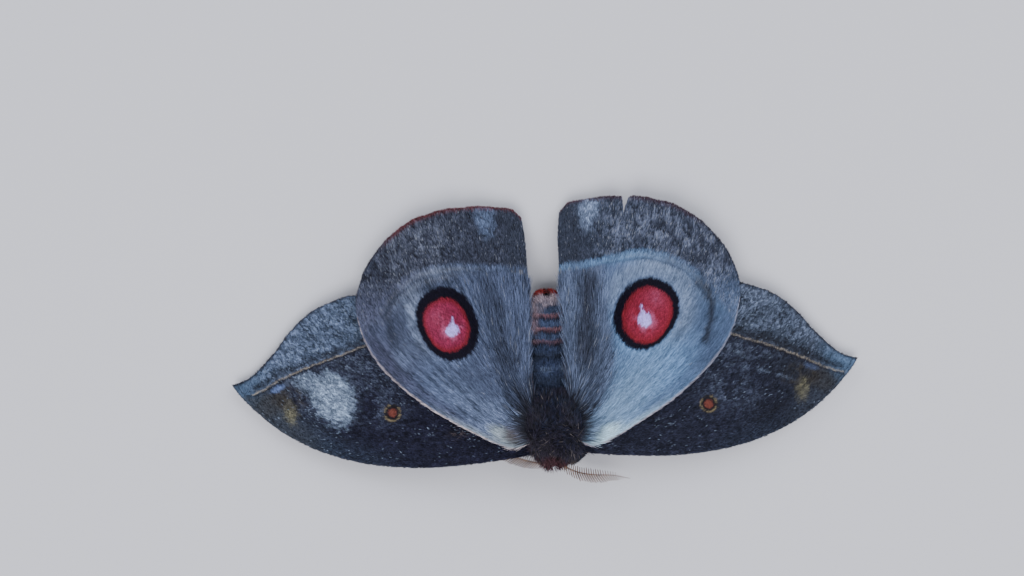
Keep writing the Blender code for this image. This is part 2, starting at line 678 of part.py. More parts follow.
def branch_shapes(route):
    """Pairs of branches, each pair one bow that crosses the shaft and leans to its tip."""
    curve = smooth_curve(route)
    first, last = BRANCH_SPAN
    step = (last - first) / (BRANCH_PAIRS - 1)
    shapes = []
    for i in range(BRANCH_PAIRS):
        t = first + step * i
        root = curve(t)
        along = (curve(t + step / 4) - curve(t - step / 4)).normalized()
        across = along.cross(Vector((0, 0, 1))).normalized()
        reach = branch_length(t) + SHAFT_THICK / 2
        bow = [root + across * (out * reach) + along * (abs(out) * reach * BRANCH_LEAN)
               for out in (-1, 0, 1)]
        thick = (0, BRANCH_THICK, 0)
        shapes.append(sweep(bow, thick, thick, 4, (0, 0, 1)))
    return shapes


def make_antennae():
    for name, route in ANTENNAE.items():
        antenna = add_object(name, shaft_shape(route), "antenna")
        pieces = [add_object("piece", shape, "antenna") for shape in branch_shapes(route)]
        boolean(antenna, pieces, "UNION")
        boolean(antenna, [cutter(head_core(GAP - SKIN))], "DIFFERENCE")


def centre_on_floor():
    """Moves every node so that the origin is the middle of the model's footprint, at floor level."""
    things = [t for t in bpy.data.objects if t.type == "MESH"]
    corners = [v.co for t in things for v in t.data.vertices]
    low = [min(c[i] for c in corners) for i in range(3)]
    high = [max(c[i] for c in corners) for i in range(3)]
    shift = Vector((-(low[0] + high[0]) / 2, -(low[1] + high[1]) / 2, -low[2]))
    for thing in things:
        for vertex in thing.data.vertices:
            vertex.co += shift
        thing.data.shade_smooth()
        thing.data.set_sharp_from_angle(angle=SHARP)
    print("shift in mm:", [round(s / MM, 3) for s in shift])


def main():
    rng = random.Random(SEED)
    clear_scene()
    clearances = make_wings()
    make_thorax(clearances, rng)
    make_head()
    make_abdomen(rng)
    make_legs()
    make_antennae()
    centre_on_floor()


main()
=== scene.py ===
import math

import bpy
import numpy as np
from mathutils import Matrix, Vector


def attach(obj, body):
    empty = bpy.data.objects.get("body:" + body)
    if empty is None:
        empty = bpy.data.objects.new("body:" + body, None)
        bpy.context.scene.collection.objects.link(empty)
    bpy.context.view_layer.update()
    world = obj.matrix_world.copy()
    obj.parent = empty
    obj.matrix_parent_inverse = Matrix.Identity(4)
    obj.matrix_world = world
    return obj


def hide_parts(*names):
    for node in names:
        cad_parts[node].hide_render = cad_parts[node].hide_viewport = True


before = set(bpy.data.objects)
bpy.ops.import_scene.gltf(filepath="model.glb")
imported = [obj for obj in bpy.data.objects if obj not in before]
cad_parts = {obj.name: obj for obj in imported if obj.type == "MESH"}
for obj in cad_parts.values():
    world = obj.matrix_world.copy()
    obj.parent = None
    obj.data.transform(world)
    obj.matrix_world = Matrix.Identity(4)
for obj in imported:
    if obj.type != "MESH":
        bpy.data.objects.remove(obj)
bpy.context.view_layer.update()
mm = .001

# The moth is laid out in its own frame, with the middle of the shoulders at 0, and then shifted
place = {"shiftX": .472, "shiftY": -10.912}


# small helpers for shapes and colours
def toScene(points):
    moved = np.array(points, float) + (place["shiftX"], place["shiftY"], 0.0)
    return moved * mm


def rise(x, low, high):
    # smooth step from 0 at low to 1 at high
    x = np.clip((x - low) / (high - low), 0, 1)
    return x * x * (3 - 2 * x)


def hill(x, width):
    return np.exp(-(x / width) ** 2)


def grain(x, y, seed):
    # smooth noise from 0 to 1, one knot to each whole number
    ix, iy = np.floor(x), np.floor(y)
    fx, fy = x - ix, y - iy
    fx, fy = fx * fx * (3 - 2 * fx), fy * fy * (3 - 2 * fy)

    def knot(a, b):
        h = (a.astype(np.int64) * 374761393 + b.astype(np.int64) * 668265263 + seed * 97463477) & 0xffffffff
        h = ((h ^ (h >> 13)) * 1274126177) & 0xffffffff
        return ((h ^ (h >> 16)) & 0xffff) / 65535.0

    low = knot(ix, iy) * (1 - fx) + knot(ix + 1, iy) * fx
    high = knot(ix, iy + 1) * (1 - fx) + knot(ix + 1, iy + 1) * fx
    return low * (1 - fy) + high * fy


def mottle(x, y, seed, layers=3):
    parts = [grain(x * 2 ** k, y * 2 ** k, seed + k) * .5 ** k for k in range(layers)]
    return sum(parts) / sum(.5 ** k for k in range(layers))


def runCurve(points, t):
    # even, smooth curve through the points, t from 0 to 1
    knots = np.array(points, float)
    knots = np.vstack([2 * knots[0] - knots[1], knots, 2 * knots[-1] - knots[-2]])
    steps = np.linalg.norm(np.diff(knots[1:-1], axis=0), axis=1)
    ends = np.concatenate([[0.0], np.cumsum(steps)])
    far = np.clip(t, 0, 1) * ends[-1]
    i = np.clip(np.searchsorted(ends, far, side="right") - 1, 0, len(steps) - 1)
    s = ((far - ends[i]) / steps[i])[..., None]
    a, b, c, d = (knots[i + k] for k in range(4))
    return .5 * (2 * b + (c - a) * s + (2 * a - 5 * b + 4 * c - d) * s ** 2
                  + (3 * b - a - 3 * c + d) * s ** 3)


def besideLine(x, y, points):
    # distance from a smooth line through the points, above 0 on its left
    line = runCurve(points, np.linspace(0, 1, 25))
    best, side = np.full(x.shape, 1e6), np.ones(x.shape)
    for (ax, ay), (bx, by) in zip(line, line[1:]):
        dx, dy = bx - ax, by - ay
        t = np.clip(((x - ax) * dx + (y - ay) * dy) / (dx * dx + dy * dy), 0, 1)
        gap = np.hypot(x - ax - t * dx, y - ay - t * dy)
        nearer = gap < best
        best = np.where(nearer, gap, best)
        side = np.where(nearer, np.sign(dx * (y - ay) - dy * (x - ax)), side)
    return best * side


def inOval(x, y, middle, half, lean=0.0, full=2.0):
    # 0 at the middle of an oval, 1 on its edge; its long way leans out by the angle
    a = math.radians(lean)
    dx, dy = x - middle[0], y - middle[1]
    across = np.abs((dx * math.cos(a) - dy * math.sin(a)) / half[0])
    up = np.abs((dx * math.sin(a) + dy * math.cos(a)) / half[1])
    return (across ** full + up ** full) ** (1 / full)


def lay(colour, paint, share):
    # paints over the colour, in place
    share = np.clip(share, 0, 1)[:, None]
    colour *= 1 - share
    colour += np.array(paint) * share
    return colour


def blot(x, y, at, half):
    # 1 at the middle of a soft spot, with its half width and half height
    return hill(np.hypot((x - at[0]) / half[0], (y - at[1]) / half[1]), 1.0)


def makeMesh(name, points, faces, smooth=True):
    mesh = bpy.data.meshes.new(name)
    mesh.from_pydata([tuple(p) for p in points], [], [tuple(f) for f in faces])
    mesh.update()
    mesh.polygons.foreach_set("use_smooth", [smooth] * len(mesh.polygons))
    return mesh


def sleeve(rings, around, base=0):
    # four-sided faces between rings of points, each ring closed on itself
    return [(base + i * around + k, base + (i + 1) * around + k, base + (i + 1) * around + (k + 1) % around,
             base + i * around + (k + 1) % around) for i in range(rings) for k in range(around)]


def makeObject(name, data):
    thing = bpy.data.objects.new(name, data)
    bpy.context.scene.collection.objects.link(thing)
    return thing


def show(name, mesh, material=None, nodes=()):
    # a finished piece, its material and the nodes that it stands for
    piece = makeObject(name, mesh)
    if material:
        mesh.materials.append(material)
    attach(piece, "root")
    if nodes:
        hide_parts(*nodes)


def giveFields(mesh, **fields):
    # values at the mesh's points, one each or one for all, for the trees and the materials to read
    kinds = {"tint": ("FLOAT_COLOR", "color"), "lie": ("FLOAT_VECTOR", "vector"), "cut": ("FLOAT_VECTOR", "vector")}
    for name, values in fields.items():
        kind, slotName = kinds.get(name, ("FLOAT", "value"))
        values = np.asarray(values, np.float32)
        if name == "tint":
            values = np.hstack([values, np.ones((len(values), 1), np.float32)])
        elif kind == "FLOAT":
            values = np.broadcast_to(values, len(mesh.vertices))
        mesh.attributes.new(name, kind, "POINT").data.foreach_set(slotName, values.ravel())


def giveMap(mesh, name, pairs):
    layer = mesh.uv_layers.new(name=name)
    layer.uv.foreach_set("vector", np.asarray(pairs, np.float32).ravel())


# small helpers for node trees
def startTree(kind, name, inputs, outputs):
    # a tree with named inputs, each with its kind and the value that it has by itself, if any
    tree = bpy.data.node_groups.new(name, kind)
    for label, what in outputs:
        tree.interface.new_socket(label, in_out="OUTPUT", socket_type="NodeSocket" + what)
    for label, what, *value in inputs:
        socket = tree.interface.new_socket(label, in_out="INPUT", socket_type="NodeSocket" + what)
        if value:
            socket.default_value = value[0]
    return tree, tree.nodes.new("NodeGroupInput").outputs, tree.nodes.new("NodeGroupOutput")


def feed(node, feeds):
    # what goes into each input: a value or the output of another node
    for label, value in feeds.items():
        if isinstance(value, bpy.types.NodeSocket):
            node.id_data.links.new(value, node.inputs[label])
        else:
            node.inputs[label].default_value = value
    return node


def addNode(tree, kind, feeds=(), **settings):
    node = tree.nodes.new(kind)
    for name, value in settings.items():
        setattr(node, name, value)
    return feed(node, dict(feeds))


def calculate(tree, operation, *values):
    return addNode(tree, "ShaderNodeMath", dict(enumerate(values)), operation=operation).outputs[0]


def scaled(tree, colour, factor):
    return addNode(tree, "ShaderNodeVectorMath", {0: colour, "Scale": factor}, operation="SCALE").outputs[0]


def runTree(tree, name, source, values):
    # what the tree makes of a mesh, as a mesh of its own
    holder = makeObject("holder", source)
    modifier = holder.modifiers.new("tree", "NODES")
    modifier.node_group = tree
    names = {item.name: item.identifier for item in tree.interface.items_tree if item.in_out == "INPUT"}
    for label, value in values.items():     # a modifier's inputs go by the identifier of each socket
        modifier[names[label]] = value
    holder.update_tag()
    made = bpy.data.meshes.new_from_object(holder.evaluated_get(bpy.context.evaluated_depsgraph_get()))
    made.name = name
    bpy.data.objects.remove(holder)
    print(f"{name}: {len(made.polygons)} faces")
    return made


# camera, floor and lights
cameraView = {"lens": 50.0, "centre": (-4.526, .588, 160.002), "roll": 2.8, "tilt": 6.0}
studio = {
    "floor": (.62, .63, .66), "floorHalf": 1.5,
    "key": {"at": (-.1, -.42, .62), "size": .45, "power": 5.2, "colour": (1.0, .98, 1.03)},
    "fill": {"at": (.45, .3, .5), "size": .6, "power": 3.0, "colour": (.94, .95, 1.05)},
    "back": {"at": (-.45, .45, .35), "size": .4, "power": 1.6, "colour": (.94, .95, 1.05)},
    "sky": ((.88, .9, 1.0), .57),
}


def makeStudio():
    roll, tilt = math.radians(cameraView["roll"]), math.radians(cameraView["tilt"])
    right = Vector((math.cos(roll), -math.sin(roll), 0))
    level = Vector((math.sin(roll), math.cos(roll), 0))
    up = level * math.cos(tilt) + Vector((0, 0, math.sin(tilt)))
    back = right.cross(up)
    camera = makeObject("camera", bpy.data.cameras.new("camera"))
    camera.data.lens = cameraView["lens"]
    camera.data.sensor_width = 36.0
    camera.data.clip_start = .005
    turned = Matrix((right, up, back)).transposed().to_4x4()
    camera.matrix_world = Matrix.Translation(Vector(toScene([cameraView["centre"]])[0])) @ turned
    bpy.context.scene.camera = camera

    half = studio["floorHalf"]
    floor = makeObject("floor", makeMesh("floor", [(-half, -half, 0), (half, -half, 0), (half, half, 0),
                                                   (-half, half, 0)], [(0, 1, 2, 3)], False))
    paper = bpy.data.materials.new("palePaper")
    paper.use_nodes = True
    feed(paper.node_tree.nodes["Principled BSDF"], {"Base Color": (*studio["floor"], 1), "Roughness": .8})
    floor.data.materials.append(paper)

    for name in ("key", "fill", "back"):
        plan = studio[name]
        lamp = makeObject(name, bpy.data.lights.new(name, "AREA"))
        lamp.data.size = plan["size"]
        lamp.data.energy = plan["power"]
        lamp.data.color = plan["colour"]
        at = Vector(plan["at"])
        lamp.matrix_world = Matrix.Translation(at) @ at.to_track_quat("Z", "Y").to_matrix().to_4x4()
    world = bpy.data.worlds.new("softSky")
    world.use_nodes = True
    colour, strength = studio["sky"]
    feed(world.node_tree.nodes["Background"], {"Color": (*colour, 1), "Strength": strength})
    bpy.context.scene.world = world


makeStudio()
print("camera, floor and lights are in place")


# shader groups and materials
def hairGroup():
    # a tuft is darker at its root and paler at its tip, and no two are quite alike
    tree, start, end = startTree(
        "ShaderNodeTree", "hairShade", [("Tint", "Color", (.5, .5, .5, 1)), ("Root", "Float", .45),
                                        ("Tip", "Float", 1.25)], [("Colour", "Color"), ("Roughness", "Float")])
    along = addNode(tree, "ShaderNodeAttribute", attribute_name="along").outputs["Fac"]
    ramp = addNode(tree, "ShaderNodeMapRange", {"Value": along, "To Min": start["Root"], "To Max": start["Tip"]},
                   interpolation_type="SMOOTHSTEP")
    rough = addNode(tree, "ShaderNodeMapRange", {"Value": along, "To Min": .75, "To Max": .55})
    feed(end, {"Colour": scaled(tree, start["Tint"], ramp.outputs[0]), "Roughness": rough.outputs[0]})
    return tree


def napGroup():
    # the flat scales between the tufts: streaks that follow the lie, small mottling and a fine height
    tree, start, end = startTree(
        "ShaderNodeTree", "napShade",
        [("Tint", "Color", (.5, .5, .5, 1)), ("Streaks", "Vector", (0, 0, 0)), ("Contrast", "Float", .5),
         ("Grain", "Float", 7000.0)], [("Colour", "Color"), ("Roughness", "Float"), ("Height", "Float")])
    where = addNode(tree, "ShaderNodeTexCoord").outputs["Object"]
    streak = addNode(tree, "ShaderNodeTexNoise", {"Scale": 1.0, "Detail": 3.0, "Vector": start["Streaks"]})
    fine = addNode(tree, "ShaderNodeTexNoise", {"Scale": start["Grain"], "Detail": 2.0, "Vector": where})
    both = calculate(tree, "ADD", streak.outputs["Fac"], fine.outputs["Fac"])
    level = calculate(tree, "SUBTRACT", 1.0, start["Contrast"])
    spread = calculate(tree, "MULTIPLY_ADD", both, start["Contrast"], level)
    rough = addNode(tree, "ShaderNodeMapRange", {"Value": fine.outputs["Fac"], "To Min": .5, "To Max": .8})
    feed(end, {"Colour": scaled(tree, start["Tint"], spread), "Roughness": rough.outputs[0], "Height": both})
    return tree


def relief(tree, height, strength, depth, invert=False):
    return addNode(tree, "ShaderNodeBump", {"Strength": strength, "Distance": depth * mm, "Height": height},
                   invert=invert).outputs["Normal"]


def startMaterial(name, specular):
    material = bpy.data.materials.new(name)
    material.use_nodes = True
    shader = material.node_tree.nodes["Principled BSDF"]
    return material, material.node_tree, feed(shader, {"Specular IOR Level": specular})


def coatMaterial(name, specular, group, **feeds):
    # the tint of each point by way of a shader group
    material, tree, shader = startMaterial(name, specular)
    tint = addNode(tree, "ShaderNodeAttribute", attribute_name="tint").outputs["Color"]
    made = addNode(tree, "ShaderNodeGroup", {"Tint": tint, **feeds}, node_tree=group)
    feed(shader, {"Base Color": made.outputs["Colour"], "Roughness": made.outputs["Roughness"]})
    return material, tree, shader, made


def napMaterial(name, stretch, contrast, grainScale, bump):
    material, tree, shader, made = coatMaterial(name, .12, shadeNap, Contrast=contrast, Grain=grainScale)
    flow = addNode(tree, "ShaderNodeUVMap", uv_map="skinUv").outputs["UV"]
    longWay = addNode(tree, "ShaderNodeVectorMath", {0: flow, 1: stretch}, operation="MULTIPLY")
    feed(made, {"Streaks": longWay.outputs[0]})
    feed(shader, {"Normal": relief(tree, made.outputs["Height"], bump, .06)})
    return material


def hairMaterial(name, root, tip, specular):
    return coatMaterial(name, specular, shadeHair, Root=root, Tip=tip)[0]


shadeHair, shadeNap = hairGroup(), napGroup()
finish = {}
for name, stretch, contrast, grainScale, bump in (
        ("forewingScales", (30, 420, 1), .5, 9000, .5), ("hindwingScales", (24, 380, 1), .5, 8000, .5),
        ("bodyPelt", (120, 160, 1), .6, 5000, .7)):
    finish[name] = napMaterial(name, stretch, contrast, grainScale, bump)
for name, root, tip, specular in (
        ("forewingHair", .7, 1.25, .12), ("hindwingHair", .55, 1.3, .15), ("bodyFur", .35, 1.7, .3),
        ("legHair", .6, 1.3, .25)):
    finish[name] = hairMaterial(name, root, tip, specular)
print("materials are ready")


# tufts and the tree that plants them
def tuftMesh(name, rings, tipAt, lift):
    # closed, three-sided, pointed at both ends: a ring is its share of the length, width, height and rise
    points, faces, along = [(0, -.15, -.25)], [], [0.0]
    for share, width, tall, up in rings:
        for x, z in ((-.5, 0.0), (.5, 0.0), (0.0, 1.0)):
            points.append((x * width, share, up + z * tall))
            along.append(share)
    points.append((0, tipAt, lift))
    along.append(1.0)
    last = len(points) - 1
    for k in range(3):
        n = (k + 1) % 3
        faces.append((0, 1 + k, 1 + n))
        for r in range(len(rings) - 1):
            a, b = 1 + 3 * r, 4 + 3 * r
            faces.append((a + k, b + k, b + n))
            faces.append((a + k, b + n, a + n))
        foot = 1 + 3 * (len(rings) - 1)
        faces.append((last, foot + n, foot + k))
    mesh = makeMesh(name, points, faces, False)
    mesh.attributes.new("along", "FLOAT", "POINT").data.foreach_set("value", along)
    pairs = [(points[v][0] + .5, .13 + .85 * points[v][1] / tipAt)
             for f in mesh.polygons for v in f.vertices]
    giveMap(mesh, "tuftUv", pairs)
    mesh.update()
    return makeObject(name, mesh)


scaleTuft = tuftMesh("scaleTuft", [(.4, 1.0, .5, .02)], .9, .05)
furTuft = tuftMesh("furTuft", [(.2, .9, .6, 0.0), (.6, .8, .5, .35)], 1.0, 0.0)


patchSize = .003     # how much of the skin's map one tuft takes up


def coatTree():
    tree, start, end = startTree("GeometryNodeTree", "plantCoat", [
        ("Geometry", "Geometry"), ("Tuft", "Object"), ("Per Square Millimetre", "Float"), ("Seed", "Int"),
        ("Lift Spread", "Float"), ("Pale", "Color"), ("Material", "Material")], [("Geometry", "Geometry")])

    def field(name, kind="FLOAT"):
        return addNode(tree, "GeometryNodeInputNamedAttribute", {"Name": name}, data_type=kind).outputs["Attribute"]

    def times(a, b):
        return calculate(tree, "MULTIPLY", a, b)

    def chance(low, high, offset):
        seed = calculate(tree, "ADD", start["Seed"], offset)
        return addNode(tree, "FunctionNodeRandomValue", {2: low, 3: high, "Seed": seed}, data_type="FLOAT").outputs[1]

    def vector(*parts):
        return addNode(tree, "ShaderNodeCombineXYZ", dict(enumerate(parts))).outputs[0]

    def store(geometry, name, kind, domain, value):
        return addNode(tree, "GeometryNodeStoreNamedAttribute", {"Name": name, "Geometry": geometry, "Value": value},
                       data_type=kind, domain=domain).outputs["Geometry"]

    thick = times(start["Per Square Millimetre"], field("cover"))
    spread = addNode(tree, "GeometryNodeDistributePointsOnFaces", {
        "Mesh": start["Geometry"], "Density": times(thick, 1 / mm ** 2), "Seed": start["Seed"]}).outputs
    # how long and wide the coat is there, and how far it lifts
    length, width, lift = addNode(tree, "ShaderNodeSeparateXYZ", {0: field("cut", "FLOAT_VECTOR")}).outputs
    axes = addNode(tree, "FunctionNodeAxesToRotation", {
        "Primary Axis": field("lie", "FLOAT_VECTOR"), "Secondary Axis": spread["Normal"]},
        primary_axis="Y", secondary_axis="Z")
    lifted = calculate(tree, "ADD", times(lift, chance(.6, 1.4, 1)), chance(0.0, start["Lift Spread"], 2))
    swung = times(field("swing"), chance(-1.0, 1.0, 4))
    euler = addNode(tree, "FunctionNodeEulerToRotation", {0: vector(lifted, chance(-.5, .5, 3), swung)})
    turn = addNode(tree, "FunctionNodeRotateRotation", {"Rotation": axes.outputs[0], "Rotate By": euler.outputs[0]},
                   rotation_space="LOCAL")

    factor = calculate(tree, "MULTIPLY_ADD", chance(-1.0, 1.0, 5), field("wild"), 1.0)
    rare = calculate(tree, "LESS_THAN", chance(0.0, 1.0, 6), field("fleck"))
    pick = addNode(tree, "ShaderNodeMix", {
        "Factor": times(rare, chance(.3, 1.0, 8)), 6: scaled(tree, field("tint", "FLOAT_COLOR"), factor),
        7: start["Pale"]}, data_type="RGBA")
    planted = store(spread["Points"], "tint", "FLOAT_COLOR", "POINT", pick.outputs[2])
    planted = store(planted, "rootUv", "FLOAT_VECTOR", "POINT", field("skinUv", "FLOAT_VECTOR"))

    model = addNode(tree, "GeometryNodeObjectInfo", {"Object": start["Tuft"]})
    thin = times(width, mm)
    copies = addNode(tree, "GeometryNodeInstanceOnPoints", {
        "Points": planted, "Instance": model.outputs["Geometry"], "Rotation": turn.outputs[0],
        "Scale": vector(thin, times(times(length, mm), chance(.7, 1.25, 7)), thin)})
    solid = addNode(tree, "GeometryNodeRealizeInstances", {"Geometry": copies.outputs["Instances"]})
    patch = addNode(tree, "ShaderNodeVectorMath", {
        0: field("tuftUv", "FLOAT_VECTOR"), 1: (patchSize, patchSize, 0), 2: field("rootUv", "FLOAT_VECTOR")},
        operation="MULTIPLY_ADD")
    mapped = store(solid.outputs[0], "OFBake", "FLOAT2", "CORNER", patch.outputs[0])
    paint = addNode(tree, "GeometryNodeSetMaterial", {"Geometry": mapped, "Material": start["Material"]})
    feed(end, {"Geometry": paint.outputs[0]})
    return tree


plantCoat = coatTree()


def growCoat(name, skin, tuft, density, seed, material, pale, spread):
    mesh = runTree(plantCoat, name, skin, {
        "Tuft": tuft, "Per Square Millimetre": float(density), "Seed": seed, "Lift Spread": float(spread),
        "Pale": (*pale, 1.0), "Material": finish[material]})
    for spare in ("lie", "cut", "cover", "fleck", "wild", "swing", "rootUv", "skinUv", "tuftUv"):
        if spare in mesh.attributes:
            mesh.attributes.remove(mesh.attributes[spare])
    show(name, mesh)


# wings
hinge = (2.6, 1.6)
poses = {
    "left": {"side": -1, "inset": .25, "forewing": (-.3, 1.015), "hindwing": (.1, .985)},
    "right": {"side": 1, "inset": -.2, "forewing": (-.6, .985), "hindwing": (-.3, 1.003)},
}
forewing = {
    "costa": ((2.2, -1.2, 4.35), (4.2, -1.5, 4.2), (8.0, -1.95, 3.8), (14.0, -2.15, 3.1), (20.0, -1.5, 2.5),
              (25.0, 0.0, 2.0), (29.3, 2.3, 1.6), (32.3, 4.8, 1.35), (34.2, 6.8, 1.2), (35.1, 8.1, 1.1)),
    "margin": ((35.1, 8.1, 1.1), (33.7, 8.5, 1.2), (32.4, 9.3, 1.3), (30.5, 11.1, 1.5), (28.4, 13.6, 1.7),
               (26.2, 15.5, 1.9), (23.8, 16.6, 2.1), (21.2, 17.2, 2.3), (18.6, 16.9, 2.5)),
    "dorsum": ((2.2, 1.9, 4.35), (5.5, 4.0, 4.05), (9.8, 8.0, 3.5), (14.4, 12.8, 2.9), (18.6, 16.9, 2.5)),
    "veins": ((.03, 0.0), (.15, 0.0), (.28, .44), (.4, .44), (.52, .44), (.64, .31), (.76, 0.0),
              (.91, 0.0)),
    "crown": .25, "ripple": 0.0, "thickness": .22, "veinHeight": .05, "grid": (240, 160),
    "tufts": 75, "swing": .45, "pale": (.22, .28, .37),
}
hindwing = {
    "costa": ((2.2, -.1, 5.45), (4.1, -.55, 5.4), (6.4, .05, 5.2), (9.6, 1.7, 4.9), (12.9, 3.7, 4.6),
              (16.0, 6.1, 4.25), (18.7, 8.9, 3.95), (20.4, 11.8, 3.75), (21.3, 14.9, 3.6)),
    "margin": ((21.3, 14.9, 3.6), (21.3, 17.3, 3.55), (20.4, 20.0, 3.5), (18.5, 22.8, 3.35), (15.9, 25.1, 3.15),
               (12.6, 26.5, 2.9), (9.0, 27.05, 2.45), (5.6, 27.0, 1.9), (3.3, 26.7, 1.55), (2.0, 25.5, 1.5)),
    "dorsum": ((1.9, 4.0, 5.35), (2.05, 6.5, 5.15), (1.85, 9.0, 5.1), (1.7, 12.0, 5.0), (1.65, 15.5, 4.6),
               (1.65, 19.0, 3.4), (1.7, 22.6, 2.1), (2.0, 25.5, 1.5)),
    "veins": ((.05, 0), (.19, 0), (.31, .44), (.42, .44), (.53, .44), (.64, .31), (.76, 0), (.9, 0)),
    "crown": .75, "ripple": .22, "thickness": .22, "veinHeight": .03, "grid": (240, 168),
    "tufts": 58, "swing": .15, "pale": (.3, .33, .38),
}
fringe = .22     # how far the scales reach past the edge of a wing
notch = {"side": "right", "at": (9.55, 27.3), "half": .36, "depth": 2.0}
coarse = 4     # one step of the underside for so many steps of the upper face


def posed(points, pose, kind):
    turn, reach = math.radians(pose[kind][0]), pose[kind][1]
    p = np.array(points, float)
    x, y = p[:, 0] - hinge[0], p[:, 1] - hinge[1]
    x, y = reach * (x * math.cos(turn) - y * math.sin(turn)), reach * (x * math.sin(turn) + y * math.cos(turn))
    x = x + hinge[0] + pose["inset"] * rise(y, 2, 6) * (1 - rise(x, 2, 12))
    if kind == "hindwing":     # a little clear of the abdomen
        x = x + .22 * hill(y - 8.5, 4.0) * (1 - rise(x, 2, 7))
    return np.column_stack([x, y + hinge[1], p[:, 2]])


def wingEdges(wing, pose, kind):
    costa, margin, dorsum = (posed(wing[k], pose, kind) for k in ("costa", "margin", "dorsum"))
    return {"costa": costa, "margin": margin, "dorsum": dorsum, "root": np.array([costa[0], dorsum[0]])}


def wingSurface(wing, edges, u, v):
    # middle surface of a wing: u from root to outer margin, v from front to rear edge
    costa, margin, dorsum, root = (edges[k] for k in ("costa", "margin", "dorsum", "root"))
    uu, vv = u[:, None], v[:, None]
    flat = (runCurve(costa, u) * (1 - vv) + runCurve(dorsum, u) * vv + runCurve(root, v) * (1 - uu)
            + runCurve(margin, v) * uu - costa[0] * (1 - uu) * (1 - vv) - costa[-1] * uu * (1 - vv)
            - dorsum[0] * (1 - uu) * vv - dorsum[-1] * uu * vv)
    arch = np.sin(np.pi * v)
    flat[:, 2] += wing["crown"] * np.sin(np.pi * u) * arch
    flat[:, 2] -= wing["ripple"] * rise(u, .55, 1.0) * np.cos(14 * np.pi * v) * arch
    return flat


forewingMarks = {
    "left": {
        "line": ((33.3, 6.65), (31.73, 7.16), (30.44, 7.94), (28.58, 8.7), (26.58, 9.45), (24.58, 10.06),
                 (22.28, 10.79), (20.42, 11.41), (17.0, 12.6)),
        "spot": (17.46, 3.89), "olive": (28.78, 4.35), "blue": (30.2, 7.1), "blueShare": .85,
        "frost": (23.9, 5.7), "outer": (.134, .18, .28), "ground": (.014, .0148, .0305),
        "apex": (35.4, 8.1), "glints": ((13.6, 1.6), (10.2, 2.3), (8.3, 1.4)), "streaks": 0.0},
    "right": {
        "line": ((33.0, 5.9), (30.77, 6.64), (29.4, 7.28), (27.75, 8.06), (25.96, 8.79), (23.89, 9.6),
                 (22.22, 10.11), (20.28, 10.84), (17.0, 12.0)),
        "spot": (17.19, 3.19), "olive": (27.85, 4.26), "blue": (29.02, 6.75), "blueShare": .25,
        "outer": (.115, .146, .214), "ground": (.0186, .0208, .0368),
        "apex": (34.5, 7.7), "glints": ((13.1, 1.9), (11.6, 1.2), (18.0, 5.0)), "streaks": 1.0},
}


